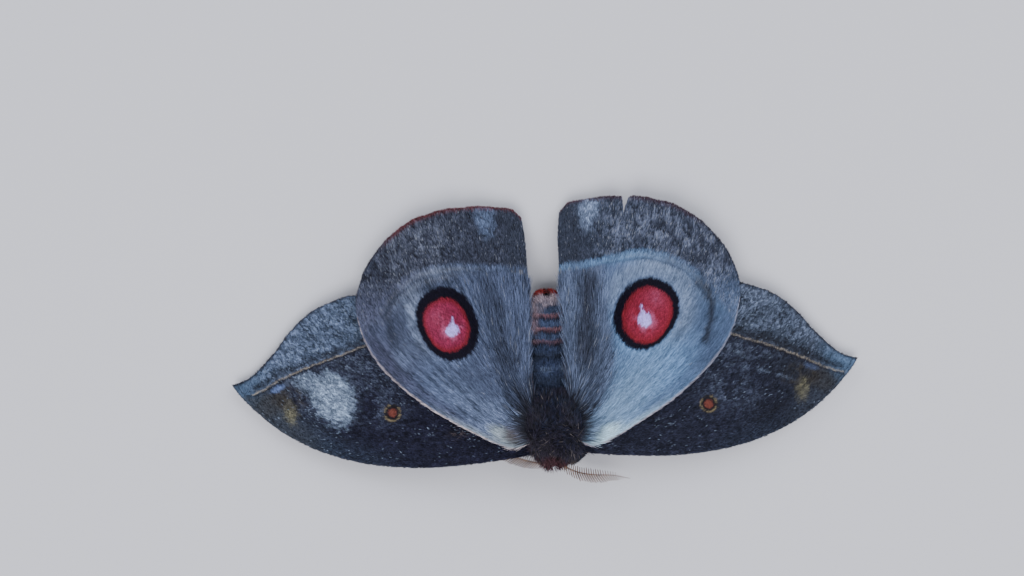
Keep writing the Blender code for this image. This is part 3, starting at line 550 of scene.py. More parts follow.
def paintForewing(x, y, u, v, side):
    marks = forewingMarks[side]
    streaky = marks["streaks"]
    streak = mottle(u * 18, v * 150, 11)
    speck = mottle(x * 2.6, y * 2.6, 21)
    dust = rise(mottle(x * 5.5, y * 5.5, 26, 2), .42, .78)
    patchy = mottle(x * .55, y * .55, 41)
    colour = np.ones((len(x), 3)) * marks["ground"]
    colour = colour * (.3 + 1.0 * speck + .6 * dust)[:, None]
    toLine = besideLine(x, y, marks["line"]) * -1     # above 0 towards the outer margin
    rough = toLine + .25 * (grain(x * 3, y * 3, 5) - .5)
    # grey-blue dusting between the spot and the line, and along the costa
    dusted = rise(x + .4 * y, 15, 21) * rise(y, .5, 5) * rise(patchy + .35 * (speck - .5), .3, .6)
    dusted = dusted * (1 - streaky * (.15 + .8 * rise(x, 21.0, 23.0)))
    dusted = np.maximum(dusted, rise(y, 4.8, 7.5) * rise(x, 23, 20) * (.9 - .5 * streaky))
    dusted = np.maximum(dusted, hill(np.hypot(x - 21.2, y - 3.7), 1.9) * .8 * streaky)
    lay(colour, (.092, .112, .168), dusted * (.12 + .78 * dust))
    costal = (1 - rise(v, .04, .24)) * (.7 + .3 * rise(u, .7, .9)) * (1 - .45 * streaky)
    lay(colour, (.044, .062, .094), costal * rise(u, .3, .7) * (.5 + .5 * dust))
    lay(colour, (.085, .104, .15), hill(toLine + 1.2, .9) * rise(patchy, .35, .55) * dust * .9)
    # outer field: powdery grey with fine streaks along the veins
    powder = .3 + .85 * dust + .5 * (streak - .35)
    outer = np.ones((len(x), 3)) * marks["outer"] * np.clip(powder, .15, 2.0)[:, None]
    bright = {"left": .42 + .64 * rise(x, 20, 27), "right": rise(toLine, .8, 2.6)}[side]
    outer = outer * (.6 + .72 * bright * (.4 + .6 * rise(patchy, .25, .7)))[:, None]
    lay(colour, outer, rise(rough, 0.0, .3))
    if "frost" in marks:
        fx, fy = marks["frost"]
        wedge = (1 - rise(inOval(x, y, (fx + 2.7, fy + 1.9), (1.5, 2.7), 62), .3, 1.1)) * .55
        frost = 1 - rise(inOval(x, y, (fx, fy), (2.45, 3.3), 22) + .55 * (speck - .5) + .3 * (patchy - .5), .72, 1.1)
        lay(colour, (.395, .525, .71), np.maximum(frost, wedge) * (.32 + .68 * dust) * rise(-toLine, .1, .6))
    haze = 1 - rise(np.hypot(x - marks["apex"][0], y - marks["apex"][1]), 1.0, 5.5)
    lay(colour, np.array((.082, .136, .22)) * (.8 if side == "left" else 1.3), haze * (.65 + .35 * speck))
    under = rise(-toLine, 0.0, .5)
    brown = 1 - rise(inOval(x, y, (marks["olive"][0] + 1.9, marks["olive"][1] + 1.3), (1.6, 2.6), -55), .5, 1.1)
    lay(colour, (.03, .028, .028), brown * under * .85)
    ahead = under * rise(x, 24, 29) * (1 - rise(v, .07, .2))
    lay(colour, (.05, .058, .07), ahead * (.5 + .4 * dust) * (1 - .4 * streaky))
    lay(colour, (.019, .022, .032), blot(x, y, (26.8, 6.3), (2.4, 1.8)) * streaky * .95)
    lay(colour, (.012, .013, .021), blot(x, y, (24.4, 2.2), (2.4, 2.0)) * streaky * .65)
    olive = (1 - rise(inOval(x, y, marks["olive"], (.95, 1.6), 12) + .7 * (speck - .5), .4, 1.1)) * under
    lay(colour, np.array((.215, .205, .125)) * (1 - .28 * streaky), olive * (.45 + .55 * dust))
    lay(colour, (.052, .046, .034), under * .6 * rise(speck, .4, .7)
        * (1 - rise(inOval(x, y, (marks["olive"][0] - .1, marks["olive"][1] + 1.6), (2.4, 1.6), 0), .5, 1.1)))
    blue = 1 - rise(inOval(x, y, marks["blue"], (1.15, .42), 22), .35, 1.1)
    lay(colour, (.135, .2, .4), blue * marks["blueShare"])
    # the thin tan line between two dark ones
    ends = rise(x, 15, 17) * (1 - rise(x, marks["line"][0][0] - .5, marks["line"][0][0] + .1))
    lay(colour, (.01, .01, .014), hill(rough - .55, .38) * .85 * ends * (.55 + .45 * patchy))
    lay(colour, (.01, .01, .014), hill(toLine + .2, .12) * ends * .85)
    lay(colour, (.335, .298, .235), hill(toLine + .04 * np.sin(x * 5), .062) * ends
        * (.5 + .6 * grain(x * 2, y * 2, 8)))
    # faint pale dashes beside the line
    dashes = hill(toLine + 1.9 + .4 * np.sin(x * .9), .15) * rise(grain(x * 1.1, y * .2, 6), .4, .6)
    dashes = dashes + hill(toLine + 3.3 - .08 * (x - 20), .13) * rise(grain(x * 1.3, y * .2, 9), .35, .6)
    lay(colour, (.11, .14, .2), dashes * streaky * rise(x, 15, 18) * rise(x, 28, 25) * .75)
    lay(colour, (.095, .075, .07), hill(np.hypot(x - 10.3, (y - 1.3) * 1.8), .9) * rise(dust, .2, .8)
        * (1 - streaky) * .9)
    # the small orange spot in its dotted yellow ring
    spotR = np.hypot(x - marks["spot"][0], y - marks["spot"][1])
    angle = np.arctan2(y - marks["spot"][1], x - marks["spot"][0])
    lay(colour, (.009, .008, .01), (1 - rise(spotR, .85, 1.15)) * .9)
    dots = rise(grain(angle * 3.5, angle * 0, 3), .15, .45)
    lay(colour, (.2, .165, .095), hill(spotR - .88, .085) * dots)
    lay(colour, (.155, .044, .033), 1 - rise(spotR + .2 * (speck - .5), .38, .6))
    # veins, the sheen of the costa and the dark outer fringe
    for at, begins in forewing["veins"]:
        thin = hill(v - at, .0042) * rise(u, max(begins, .5), max(begins, .5) + .15)
        lay(colour, (.014, .015, .02), thin * .55)
    lay(colour, (.042, .052, .07), (1 - rise(v, .006, .02)) * rise(u, .1, .4) * .8)
    lay(colour, (.012, .01, .013), rise(u, .978, .995))
    fleck = .004 + .014 * rise(patchy, .45, .65) + .022 * dusted + .06 * rise(toLine, .5, 1.5)
    for gx, gy in marks["glints"]:
        fleck = fleck + .13 * hill(np.hypot(x - gx, (y - gy) * 1.6), 1.0)
    fleck = np.where(spotR < 1.1, 0, fleck * (1 - .5 * streaky))
    fleck = fleck * (1 - .9 * haze) * (1 - .7 * olive) * rise(u, 1.0, .93)
    wild = .66 + .04 * rise(toLine, 0, .6) - .3 * (spotR < 1.1)
    marked = np.maximum.reduce([hill(toLine, .55) * ends, hill(spotR, 1.3), rise(u, .93, .99)])
    return colour, fleck, wild, marked


hindwingMarks = {
    "left": {
        "ring": (10.88, 13.15), "ringHalf": (3.22, 4.26), "disc": (10.98, 12.98), "discHalf": (2.39, 3.05),
        "leans": (25, 23), "light": (10.4, 12.32), "lightHalf": (.82, .76), "spike": (10.28, 13.75),
        "gleam": (12.0, 13.8),
        "line": ((1.2, 18.35), (2.5, 18.42), (5.94, 19.05), (8.67, 19.37), (10.49, 19.45), (12.69, 19.19),
                 (14.54, 18.73), (16.05, 17.52), (17.36, 16.49), (18.35, 14.88)),
        "arc": ((15.9, 17.0), (16.8, 15.8), (17.15, 14.4), (17.2, 12.84), (16.7, 11.0), (16.1, 9.7)),
        "valley": ((6.5, 18.0), (5.76, 14.95), (5.03, 11.28), (4.47, 7.99), (4.3, 5.0)),
        "valleyWidth": 1.2, "slope": 2.2,
        "smooth": (.101, .134, .222), "flank": (.091, .103, .166), "hairy": (.076, .098, .162),
        "upper": (.174, .224, .342), "halo": (.2, .25, .35), "root": (.15, .195, .3),
        "cream": (.37, .44, .47), "creamAt": (4.5, .55),
        "powder": ((15.6, 23.2, 1.2, 1.5), (13.6, 22.4, .8, 2.0), (16.4, 19.8, .9, 1.8), (11.9, 21.4, .5, 1.6),
                   (13.4, 23.3, .8, 1.4), (16.7, 22.4, .8, 1.1), (9.5, 26.2, 3.0, .5)),
        "bandPale": (.22, .255, .345), "frost": (6.44, 24.9), "frostInk": (.14, .195, .32), "rose": 1.0,
        "rim": (.62, .54, .54), "tuft": .85, "arcShare": .6, "foldShadeShare": 1.0, "glow": .55,
        "veil": .85, "valleyShade": .46, "rough": .65, "dullFrom": 28, "inner": .58, "slopeHighlight": .75,
        "hairFrom": ((2.5, 1.5), (5.0, 4.9), (7.0, 7.9), (9.0, 10.6), (12.5, 15.3), (14.5, 18.5)),
        "costal": (.056, .062, .106), "red": (.255, .0245, .068)},
    # the right hindwing's smooth ground, root, cream and halo are painted lighter and bluer than the left's: a
    # painted sheen on one wing of a pair that is alike
    "right": {
        "ring": (10.66, 13.2), "ringHalf": (3.34, 4.24), "disc": (10.8, 13.02), "discHalf": (2.62, 3.22),
        "leans": (38, 33), "light": (10.5, 12.45), "lightHalf": (.88, .86), "spike": (10.1, 14.05),
        "gleam": (11.8, 14.9),
        "line": ((.9, 18.4), (1.9, 18.46), (4.01, 18.65), (6.79, 19.44), (9.01, 19.88), (10.49, 20.09),
                 (12.3, 19.81), (14.98, 18.76), (16.71, 17.2), (18.1, 15.2)),
        "arc": ((16.85, 16.46), (17.67, 14.96), (17.83, 13.12), (17.34, 11.13), (16.68, 9.35)),
        "valley": ((5.1, 18.0), (4.35, 14.4), (3.6, 9.07), (3.5, 4.55)), "valleyWidth": 1.25, "slope": 1.8,
        "smooth": (.158, .283, .482), "flank": (.088, .13, .222), "hairy": (.112, .146, .23),
        "upper": (.144, .215, .372), "halo": (.222, .3, .44), "root": (.225, .345, .5),
        "cream": (.54, .74, .82), "creamAt": (4.9, .3),
        "powder": ((10.6, 23.3, 1.1, 1.3), (14.0, 24.6, 1.3, 1.1), (16.0, 20.6, 1.0, 1.2), (12.6, 21.8, 1.4, 1.0),
                   (18.3, 17.5, 1.3, 2.0), (8.2, 22.6, .8, 1.8), (15.0, 22.8, 1.1, 1.3), (19.3, 19.4, .8, 1.4)),
        "bandPale": (.245, .295, .43), "frost": (5.15, 25.3), "frostInk": (.32, .42, .62), "rose": .3,
        "rim": (.36, .33, .37), "tuft": .25, "arcShare": 1.0, "foldShadeShare": .7, "glow": .05,
        "veil": .25, "valleyShade": .97, "rough": .22, "dullFrom": 37, "inner": .7, "slopeHighlight": .12,
        "hairFrom": ((2.5, 1.2), (5.2, 3.5), (6.7, 6.4), (6.8, 8.5), (6.5, 10.8), (6.4, 14.0), (6.4, 19.5)),
        "costal": (.08, .118, .205), "red": (.268, .0215, .046)},
}


def paintHindwing(x, y, u, v, side):
    marks = hindwingMarks[side]
    streak = mottle(u * 10, v * 190, 12)
    strand = rise(mottle(u * 7, v * 260, 15, 2), .3, .72)
    speck = mottle(x * 2.2, y * 2.2, 22)
    dust = rise(mottle(x * 5, y * 5, 27, 2), .42, .78)
    patchy = mottle(x * .42, y * .42, 32)
    toLine = besideLine(x, y, marks["line"]) + .5     # above 0 towards the outer margin
    ringR = inOval(x, y, marks["ring"], marks["ringHalf"], marks["leans"][0], 2.2)
    # smooth field from the root out, a duller flank and a paler upper part round the eyespot
    colour = np.ones((len(x), 3)) * marks["smooth"]
    lay(colour, marks["flank"], rise(x + .25 * (y - 9), 11.8, 17.5) * (.7 + .3 * patchy))
    lay(colour, marks["upper"], rise(y, 11.0, 15.0) * rise(x, 17.2, 15.5) * rise(toLine, -.2, -1.4))
    lay(colour, marks["halo"], hill(ringR - 1.22, .26) * .95 * rise(y + .4 * (x - 10), 9, 14))
    glow = 1 - rise(inOval(x, y, (15.3, 11.3), (1.7, 4.2), -8), .4, 1.1)
    lay(colour, marks["upper"], glow * marks["glow"])
    lay(colour, marks["root"], rise(y - .75 * x, 3.0, -1.5) * rise(x, 15, 5) * .9)
    costal = hill(v - .06, .042) * rise(u, .95, .75) * rise(u, .2, .36)
    lay(colour, marks["costal"], costal * .75 * (.6 + .8 * patchy))
    colour = colour * (.8 + .4 * streak)[:, None] * (.78 + .44 * patchy)[:, None]
    colour = colour * (1 + marks["rough"] * (.9 * (strand - .5) + 1.5 * (speck - .5)))[:, None]
    # the hairy inner part fans out from the root, with painted shade in the valley of a fold and painted highlights
    # on the two bluish slopes beside it
    bearing = np.degrees(np.arctan2(y - .8, x - 1.2))
    hairy = rise(besideLine(x, y, marks["hairFrom"]) + 1.2 * (streak - .5), -.7, .7) * rise(toLine, .4, -1.2)
    hairInk = np.array(marks["hairy"]) * (.76 + marks["inner"] * rise(bearing, 60, 78))[:, None]
    colour = colour * (1 - hairy[:, None]) + hairInk * hairy[:, None]
    toValley = besideLine(x, y, marks["valley"])
    # painted highlights on the slopes either side of the fold
    slope = hill(toValley - marks["slope"], 1.1) * rise(y, 3, 6) * rise(y, 19.5, 17)
    lay(colour, np.array(marks["hairy"]) * 1.4, slope * marks["slopeHighlight"])
    lay(colour, np.array(marks["hairy"]) * 1.3, hill(toValley + 1.9, .9) * rise(y, 5, 9) * .45)
    # a duller strip between the eyespot and the hairy part
    dull = rise(bearing, marks["dullFrom"], marks["dullFrom"] + 12) * rise(ringR, 1.12, 1.35)
    dull = dull * rise(y, 3, 6) * rise(toLine, -.5, -2.5) * (1 - hairy)
    lay(colour, marks["hairy"], dull * marks["veil"])
    # painted shade along the valley of the fold
    valley = hill(toValley + .3 * (patchy - .5), marks["valleyWidth"]) * rise(y, 3.5, 8) * rise(y, 19, 15.5)
    lay(colour, (.036, .042, .064), valley * marks["valleyShade"])
    lay(colour, (.038, .046, .074), rise(x, 2.7, 1.9) * rise(y, 19, 17) * .5)
    colour = colour * (1 + (.2 + .75 * hairy) * (strand - .5))[:, None]
    # painted shade in the folds, and mottling, on the outer flank
    foldShade = rise(mottle(x * 1.0 + y * .5, y * .35 - x * .2, 35), .42, .66) * rise(x + .3 * (y - 9), 12, 17)
    lay(colour, np.array(marks["flank"]) * .45, foldShade * .6 * rise(toLine, .5, -.5) * marks["foldShadeShare"] * .8)
    # the dark arc beyond the eyespot
    arc = besideLine(x, y, marks["arc"]) + .5 * (grain(x * 2, y * 2, 7) - .5)
    low, high = marks["arc"][-1][1], marks["arc"][0][1]
    arcEnds = rise(y, low - .8, low + .8) * rise(y, high + 1.2, high - .6)
    lay(colour, (.03, .038, .06), hill(arc, .54) * marks["arcShare"] * arcEnds)
    # outer band: dark and powdery, with pale streaks that run to the margin
    band = rise(toLine + .3 * (speck - .5), .25, .85) * rise(y, 9.0, 14.0)
    grit = .5 * mottle(u * 24, v * 150, 29) + .5 * mottle(x * 3.4, y * 3.4, 28)
    dark = np.ones((len(x), 3)) * (.04, .046, .07) * (.35 + .6 * grit + .8 * dust)[:, None]
    fades = rise(y, 19.0, 13.5)
    lay(dark, marks["flank"], fades * .9)
    lay(colour, dark, band * .97)
    clumps = rise(mottle(x * .75, y * .75, 61), .38, .62)
    zone = {"left": .1 + .3 * rise(x, 8.5, 12) * rise(y, 15, 18), "right": .1 + .46 * rise(x, 4.8, 7.5)}[side]
    clumps = clumps * zone
    for cx, cy, wide, tall in marks["powder"]:
        clumps = np.maximum(clumps, blot(x, y, (cx, cy), (wide, tall)) * .85)
    pale = band * np.maximum(rise(grit, .46, .66), .6 * dust) * clumps * rise(u, 1.0, .95)
    lay(colour, marks["bandPale"], pale * .85)
    frost = 1 - rise(inOval(x, y, marks["frost"], (1.45, 2.7), 8) + .9 * (speck - .5) + .5 * (streak - .5), .3, 1.1)
    lay(colour, marks["frostInk"], frost * (.35 + .65 * dust) * band)
    corner = rise(x, 5.0, 3.2) * rise(y, 18.5, 20)
    lay(colour, (.034, .041, .062), corner * .75)
    # pale double line between the eyespot field and the band
    lineEnds = rise(y, 11.5, 14.5) * (.55 + .45 * rise(y, 14, 18))
    broken = .6 + .4 * rise(grain(x * 1.3, y * 1.3, 44), .25, .6)
    lineInk = np.array(marks["halo"]) * (.8, .7, .6)
    lay(colour, lineInk, hill(toLine - .12, .17) * (.08 + .44 * rise(x, 4, 11)) * lineEnds * broken)
    lay(colour, (.04, .05, .078), hill(toLine + .36, .2) * .75 * lineEnds * broken)
    lay(colour, lineInk, hill(toLine + .85, .24) * .3 * lineEnds * rise(x, 6, 11))
    lay(colour, (.45, .42, .34), hill(toLine, .11) * rise(x, 4.0, 3.0) * rise(grain(x * 4, y, 4), .3, .6))
    # the eyespot: fuzzy black ring, red disc, lilac-white light with its spike
    angle = np.arctan2(y - marks["ring"][1], x - marks["ring"][0])
    fuzz = .06 * (grain(angle * 24, u * 0, 9) - .5)
    discR = inOval(x, y, marks["disc"], marks["discHalf"], marks["leans"][1], 2.3) + .4 * fuzz
    lay(colour, (.0043, .0034, .011), 1 - rise(ringR + fuzz, .95, 1.02))
    red = np.array(marks["red"]) * (.8 + .4 * streak)[:, None] * (.84 + .36 * dust)[:, None]
    lay(red, (.205, .015, .024), rise(discR, .7, 1.0))
    lay(red, (.34, .05, .1), hill(np.hypot(x - marks["gleam"][0], y - marks["gleam"][1]), 1.3) * .6)
    lay(colour, red, 1 - rise(discR, .955, 1.005))
    gleam = hill(np.hypot(x - marks["gleam"][0], (y - marks["gleam"][1]) * .8), .7) * dust * (discR < .9)
    lay(colour, (.42, .12, .24), gleam * .5)
    light = inOval(x, y, marks["light"], marks["lightHalf"], 8)
    lay(colour, (.45, .12, .23), hill(light - 1.0, .5) * rise(speck, .45, .62) * .8)
    sx, sy = marks["spike"][0] - marks["light"][0], marks["spike"][1] - marks["light"][1]
    t = np.clip(((x - marks["light"][0]) * sx + (y - marks["light"][1]) * sy) / (sx * sx + sy * sy), 0, 1)
    needle = np.hypot(x - marks["light"][0] - t * sx, y - marks["light"][1] - t * sy) / (.34 * (1 - t) + .075)
    white = np.maximum(1 - rise(light + .5 * (speck - .5), .8, 1.0), 1 - rise(needle, .7, 1.1))
    lay(colour, (.53, .455, .95), white)
    # edges: dark fur at the root, a brown tuft, cream rim of the costa, rosy fringe
    cream = inOval(x, y, marks["creamAt"], (.85, 2.5), 66)
    lay(colour, marks["cream"], (1 - rise(cream + .3 * (streak - .5), .4, 1.2)) * .85)
    lay(colour, marks["cream"], rise(v, .07, .02) * rise(u, .5, .2) * .5)
    fromBody = np.hypot((x - 1.6) / 2.5, (y - 1.4) / 3.2)
    nearBody = rise(fromBody + .5 * (strand - .5), 1.05, .6)
    lay(colour, (.022, .026, .04), rise(fromBody, 1.9, 1.0) * rise(strand, .55, .25) * rise(y, .8, 2.0) * .8)
    lay(colour, (.014, .014, .019), nearBody * .9)
    lay(colour, (.105, .088, .088), blot(x, y, (3.7, .7), (.8, .7)) * marks["tuft"])
    rim = (1 - rise(v, .009, .016)) * (.45 + .55 * rise(u, .85, .4))
    lay(colour, marks["rim"], rim)
    edge = rise(u, .975, .993)
    lay(colour, (.022, .018, .021), edge * .85)
    rosy = edge * np.maximum(rise(y, 16, 20) * rise(x, 18.6, 16.0) * marks["rose"], rise(x, 5.2, 3.6) * .9)
    rosy = np.maximum(rosy, rise(u, .962, .975) * rise(y, 16, 20) * rise(x, 18.6, 16.0) * marks["rose"] * .6)
    lay(colour, (.14, .029, .027), rosy * .9)
    fleck = .004 + .15 * pale + .05 * band * zone + .03 * hairy
    fleck = np.where(ringR < 1.05, 0.0, fleck) * (1 - nearBody) * (1 - .8 * valley) * rise(u, 1.0, .95)
    wild = .32 + .3 * marks["rough"] * (1 - hairy) + .34 * hairy + .3 * band - .06 * (ringR < 1.05)
    marked = np.maximum.reduce([hill(toLine + .2, .7) * .7, 1 - rise(ringR, 1.0, 1.3), rise(u, .93, .99),
                                band * .6])
    return colour, fleck, wild, marked


def paintUnderside(u, v):
    # not seen in the photo: brown-grey with a darker line, as the family has it
    colour = np.ones((len(u), 3)) * (.1, .07, .058)
    colour = colour * (.7 + .6 * mottle(u * 9, v * 60, 71))[:, None]
    lay(colour, (.035, .025, .024), hill(u - (.62 + .05 * np.sin(v * 9)), .014) * .8)
    lay(colour, (.15, .11, .095), hill(u - .66, .02) * .6)
    lay(colour, (.16, .12, .11), rise(u, .85, 1.0) * .4)
    spot = np.hypot(u - .42, (v - .45) * .8)
    return lay(colour, (.3, .28, .27), 1 - rise(spot, .01, .02))


def coatOfForewing(x, y, u, v, marked):
    length = .39 + .6 * rise(u, .14, .03)
    length = length * (1 - .45 * marked)
    return length, .1 - .025 * marked, np.radians(7 + 4 * grain(x, y, 2))


def coatOfHindwing(x, y, u, v, marked):
    bearing = np.degrees(np.arctan2(y - .8, x - 1.2))
    inner = rise(bearing, 50, 64) * rise(u, .74, .55)
    length = .85 + 1.25 * inner + .7 * rise(u, .22, .05)
    length = length * (1 - .62 * marked)
    return length, .07 - .004 * inner, np.radians(6 + 8 * inner + 3 * grain(x, y, 3))


def gridFaces(across, down, base):
    i, j = (a.ravel() for a in np.meshgrid(np.arange(across), np.arange(down), indexing="ij"))
    wide = down + 1
    return base + np.column_stack([i * wide + j, (i + 1) * wide + j, (i + 1) * wide + j + 1, i * wide + j + 1])


def gridRim(across, down, base):
    # the border points of a grid in order, once round
    wide = down + 1
    ring = ([k * wide for k in range(across)] + [across * wide + k for k in range(down)]
            + [(across - k) * wide + down for k in range(across)] + [down - k for k in range(down)])
    return base + np.array(ring)


def wingGrid(wing, edges, kind, word, across, down):
    u, v = (a.ravel() for a in np.meshgrid(np.linspace(0, 1, across + 1), np.linspace(0, 1, down + 1),
                                           indexing="ij"))
    notched = kind == "hindwing" and word == notch["side"]
    if notched:     # a row of points, of the coarse underside too, runs to the notch
        tries = np.linspace(0, 1, 2001)
        at = tries[np.argmin(np.abs(runCurve(edges["margin"], .006 + .988 * tries)[:, 0] - notch["at"][0]))]
        rows = down // coarse
        v = np.interp(v, (0, round(at * rows) / rows, 1), (0, at, 1))
    vs = .006 + .988 * v
    # the skin stops short of the outline, where the fringe takes over
    outline = runCurve(edges["margin"], vs)
    length = np.linalg.norm(outline - runCurve(edges["root"], vs), axis=1)
    far = 1 - (fringe + .1 * (grain(v * 60, v * 0, 4) - .5)) / length
    if notched:
        offset = (outline[:, 0] - notch["at"][0]) / notch["half"]
        far = far - np.clip(1 - np.abs(offset), 0, 1) * notch["depth"] / length
    us = u * far
    middle = wingSurface(wing, edges, us, vs)
    ridge = sum(hill(vs - at, .006) * rise(us, begins - .01, begins + .02) for at, begins in wing["veins"])
    rimmed = np.minimum.reduce([rise(us, -.02, .02), rise(far - us, 0.0, .02), rise(vs, 0.0, .02),
                                rise(1 - vs, 0.0, .02)])
    half = .02 + (wing["thickness"] / 2 - .02) * rimmed
    return us, vs, middle, half, wing["veinHeight"] * ridge * rimmed, (far - us) * length


# what a wing is made from, its painter, its coat, its first seed and its layers of coat
kinds = {"forewing": (forewing, paintForewing, coatOfForewing, 100, 1),
         "hindwing": (hindwing, paintHindwing, coatOfHindwing, 200, 2)}


def buildWing(kind, word):
    wing, painter, shape, seed, layers = kinds[kind]
    side = poses[word]["side"]
    edges = wingEdges(wing, poses[word], kind)
    across, down = wing["grid"]
    us, vs, middle, half, ridge, rest = wingGrid(wing, edges, kind, word, across, down)
    top = middle + np.column_stack([0 * us, 0 * us, half + ridge])
    x, y = middle[:, 0], middle[:, 1]
    lie = wingSurface(wing, edges, np.minimum(us + .01, 1.01), vs) - wingSurface(wing, edges, us - .01, vs)
    tint, fleck, wild, marked = painter(x, y, us, vs, word)
    cut = np.column_stack(shape(x, y, us, vs, marked))
    cut[:, 0] = np.minimum(cut[:, 0], .86 * (fringe + rest))
    cover = np.ones(len(us))
    if kind == "forewing":     # little coat where the hindwing lies on top
        cover = 1 - .8 * rise(vs, .6, .85) * rise(us, .85, .5)

    below = [a.reshape(across + 1, down + 1, -1)[::coarse, ::coarse].reshape(-1, a.reshape(len(us), -1).shape[1])
             for a in (middle, half, us, vs, lie, cut)]
    middle2, half2, us2, vs2, lie2, cut2 = below
    us2, vs2 = us2[:, 0], vs2[:, 0]
    bottom = middle2 - np.column_stack([0 * us2, 0 * us2, half2[:, 0]])
    count = len(us)
    upper = gridFaces(across, down, 0)
    lower = gridFaces(across // coarse, down // coarse, count)[:, ::-1]
    fine, rough = gridRim(across, down, 0), gridRim(across // coarse, down // coarse, count)
    band, bandMap = [], []
    for k in range(len(rough)):
        above = [fine[(coarse * k + s) % len(fine)] for s in range(coarse, -1, -1)]
        band.append(above + [rough[k], rough[(k + 1) % len(rough)]])
        bandMap.append([(.485, .02 + .96 * (k + s / coarse) / len(rough)) for s in range(coarse, -1, -1)]
                       + [(.495, .02 + .96 * (k + s) / len(rough)) for s in (0, 1)])
    flat = np.column_stack([.02 + .46 * us, .02 + .96 * vs])
    flat = np.vstack([flat, np.column_stack([.52 + .46 * us2, .02 + .96 * vs2])])
    corners = [flat[upper[:, ::side]].reshape(-1, 2), flat[lower[:, ::side]].reshape(-1, 2),
               np.array([pair for face in bandMap for pair in face[::side]])]
    faces = [tuple(f[::side]) for group in (upper, lower, band) for f in group]
    points = np.vstack([top, bottom])
    points[:, 0] *= side
    name = f"{kind}_{word}_skin"
    mesh = makeMesh(name, toScene(points), faces)
    giveMap(mesh, "skinUv", np.vstack(corners))

    sway = .3 * (mottle(x * .6, y * .6, 81) - .5) * rise(vs, 1.0, .92) * rise(vs, 0.0, .06)
    lie = np.column_stack([side * (lie[:, 0] - sway * lie[:, 1]), lie[:, 1] + sway * lie[:, 0], lie[:, 2]])
    giveFields(mesh, tint=np.vstack([tint, paintUnderside(us2, vs2)]), lie=np.vstack([lie, lie2 * (side, 1, 1)]),
               cut=np.vstack([cut, cut2 * (.6, 1.2, .7)]), cover=np.append(cover, .2 + 0 * us2),
               fleck=np.append(fleck, .02 + 0 * us2), wild=np.append(wild, .3 + 0 * us2), swing=wing["swing"])
    show(name, mesh, finish[f"{kind}Scales"], [f"{kind}_{word}"])
    seed = seed + (10 if side > 0 else 0)
    for layer in range(layers):
        growCoat(f"{kind}_{word}_scales_{layer + 1}", mesh, scaleTuft, wing["tufts"], seed + layer, f"{kind}Hair",
                 wing["pale"], .05)


for word in poses:
    for kind in kinds:
        buildWing(kind, word)
print("wings are scaled")


# body: one skin for head, thorax and abdomen
body = {
    # y, sideways middle, height, half width, half height
    "stations": ((-2.52, -.1, 3.8, .1, .1), (-2.42, -.1, 3.82, .62, .52), (-2.1, -.1, 3.84, 1.15, 1.02),
                 (-1.62, -.1, 3.88, 1.5, 1.28), (-1.2, -.05, 4.02, 1.62, 1.42), (-.7, 0.0, 4.28, 2.0, 1.68),
                 (0.0, .1, 4.5, 2.42, 1.96), (.7, .14, 4.62, 2.7, 2.12), (1.6, .15, 4.66, 2.75, 2.09),
                 (2.5, .12, 4.58, 2.58, 2.08), (3.3, .08, 4.38, 2.3, 1.96), (4.0, .04, 4.05, 2.1, 1.85),
                 (4.7, 0.0, 3.72, 2.02, 1.9), (5.4, 0.0, 3.35, 2.0, 1.98), (7.1, 0.0, 2.9, 2.08, 2.08),
                 (9.0, 0.0, 2.42, 2.08, 2.08), (10.6, 0.0, 2.06, 2.03, 2.0), (12.0, 0.0, 1.98, 1.95, 1.92),
                 (13.5, 0.0, 1.88, 1.82, 1.8), (14.8, 0.0, 1.96, 1.66, 1.66), (15.6, 0.0, 2.06, 1.42, 1.45),
                 (16.15, 0.0, 2.12, 1.08, 1.12), (16.42, 0.0, 2.2, .7, .74), (16.52, 0.0, 2.25, .1, .1)),
    "rings": (5.7, 7.14, 8.91, 10.69, 12.08, 13.63), "around": 64, "along": 260, "pinch": .11,
    "pit": (.05, 15.95), "pitHalf": (.36, .42),
    "fur": 150, "abdomenFur": 125,
}
eyes = {"middle": -.1, "at": (1.25, -2.0, 3.35), "half": (.58, .66, .78)}


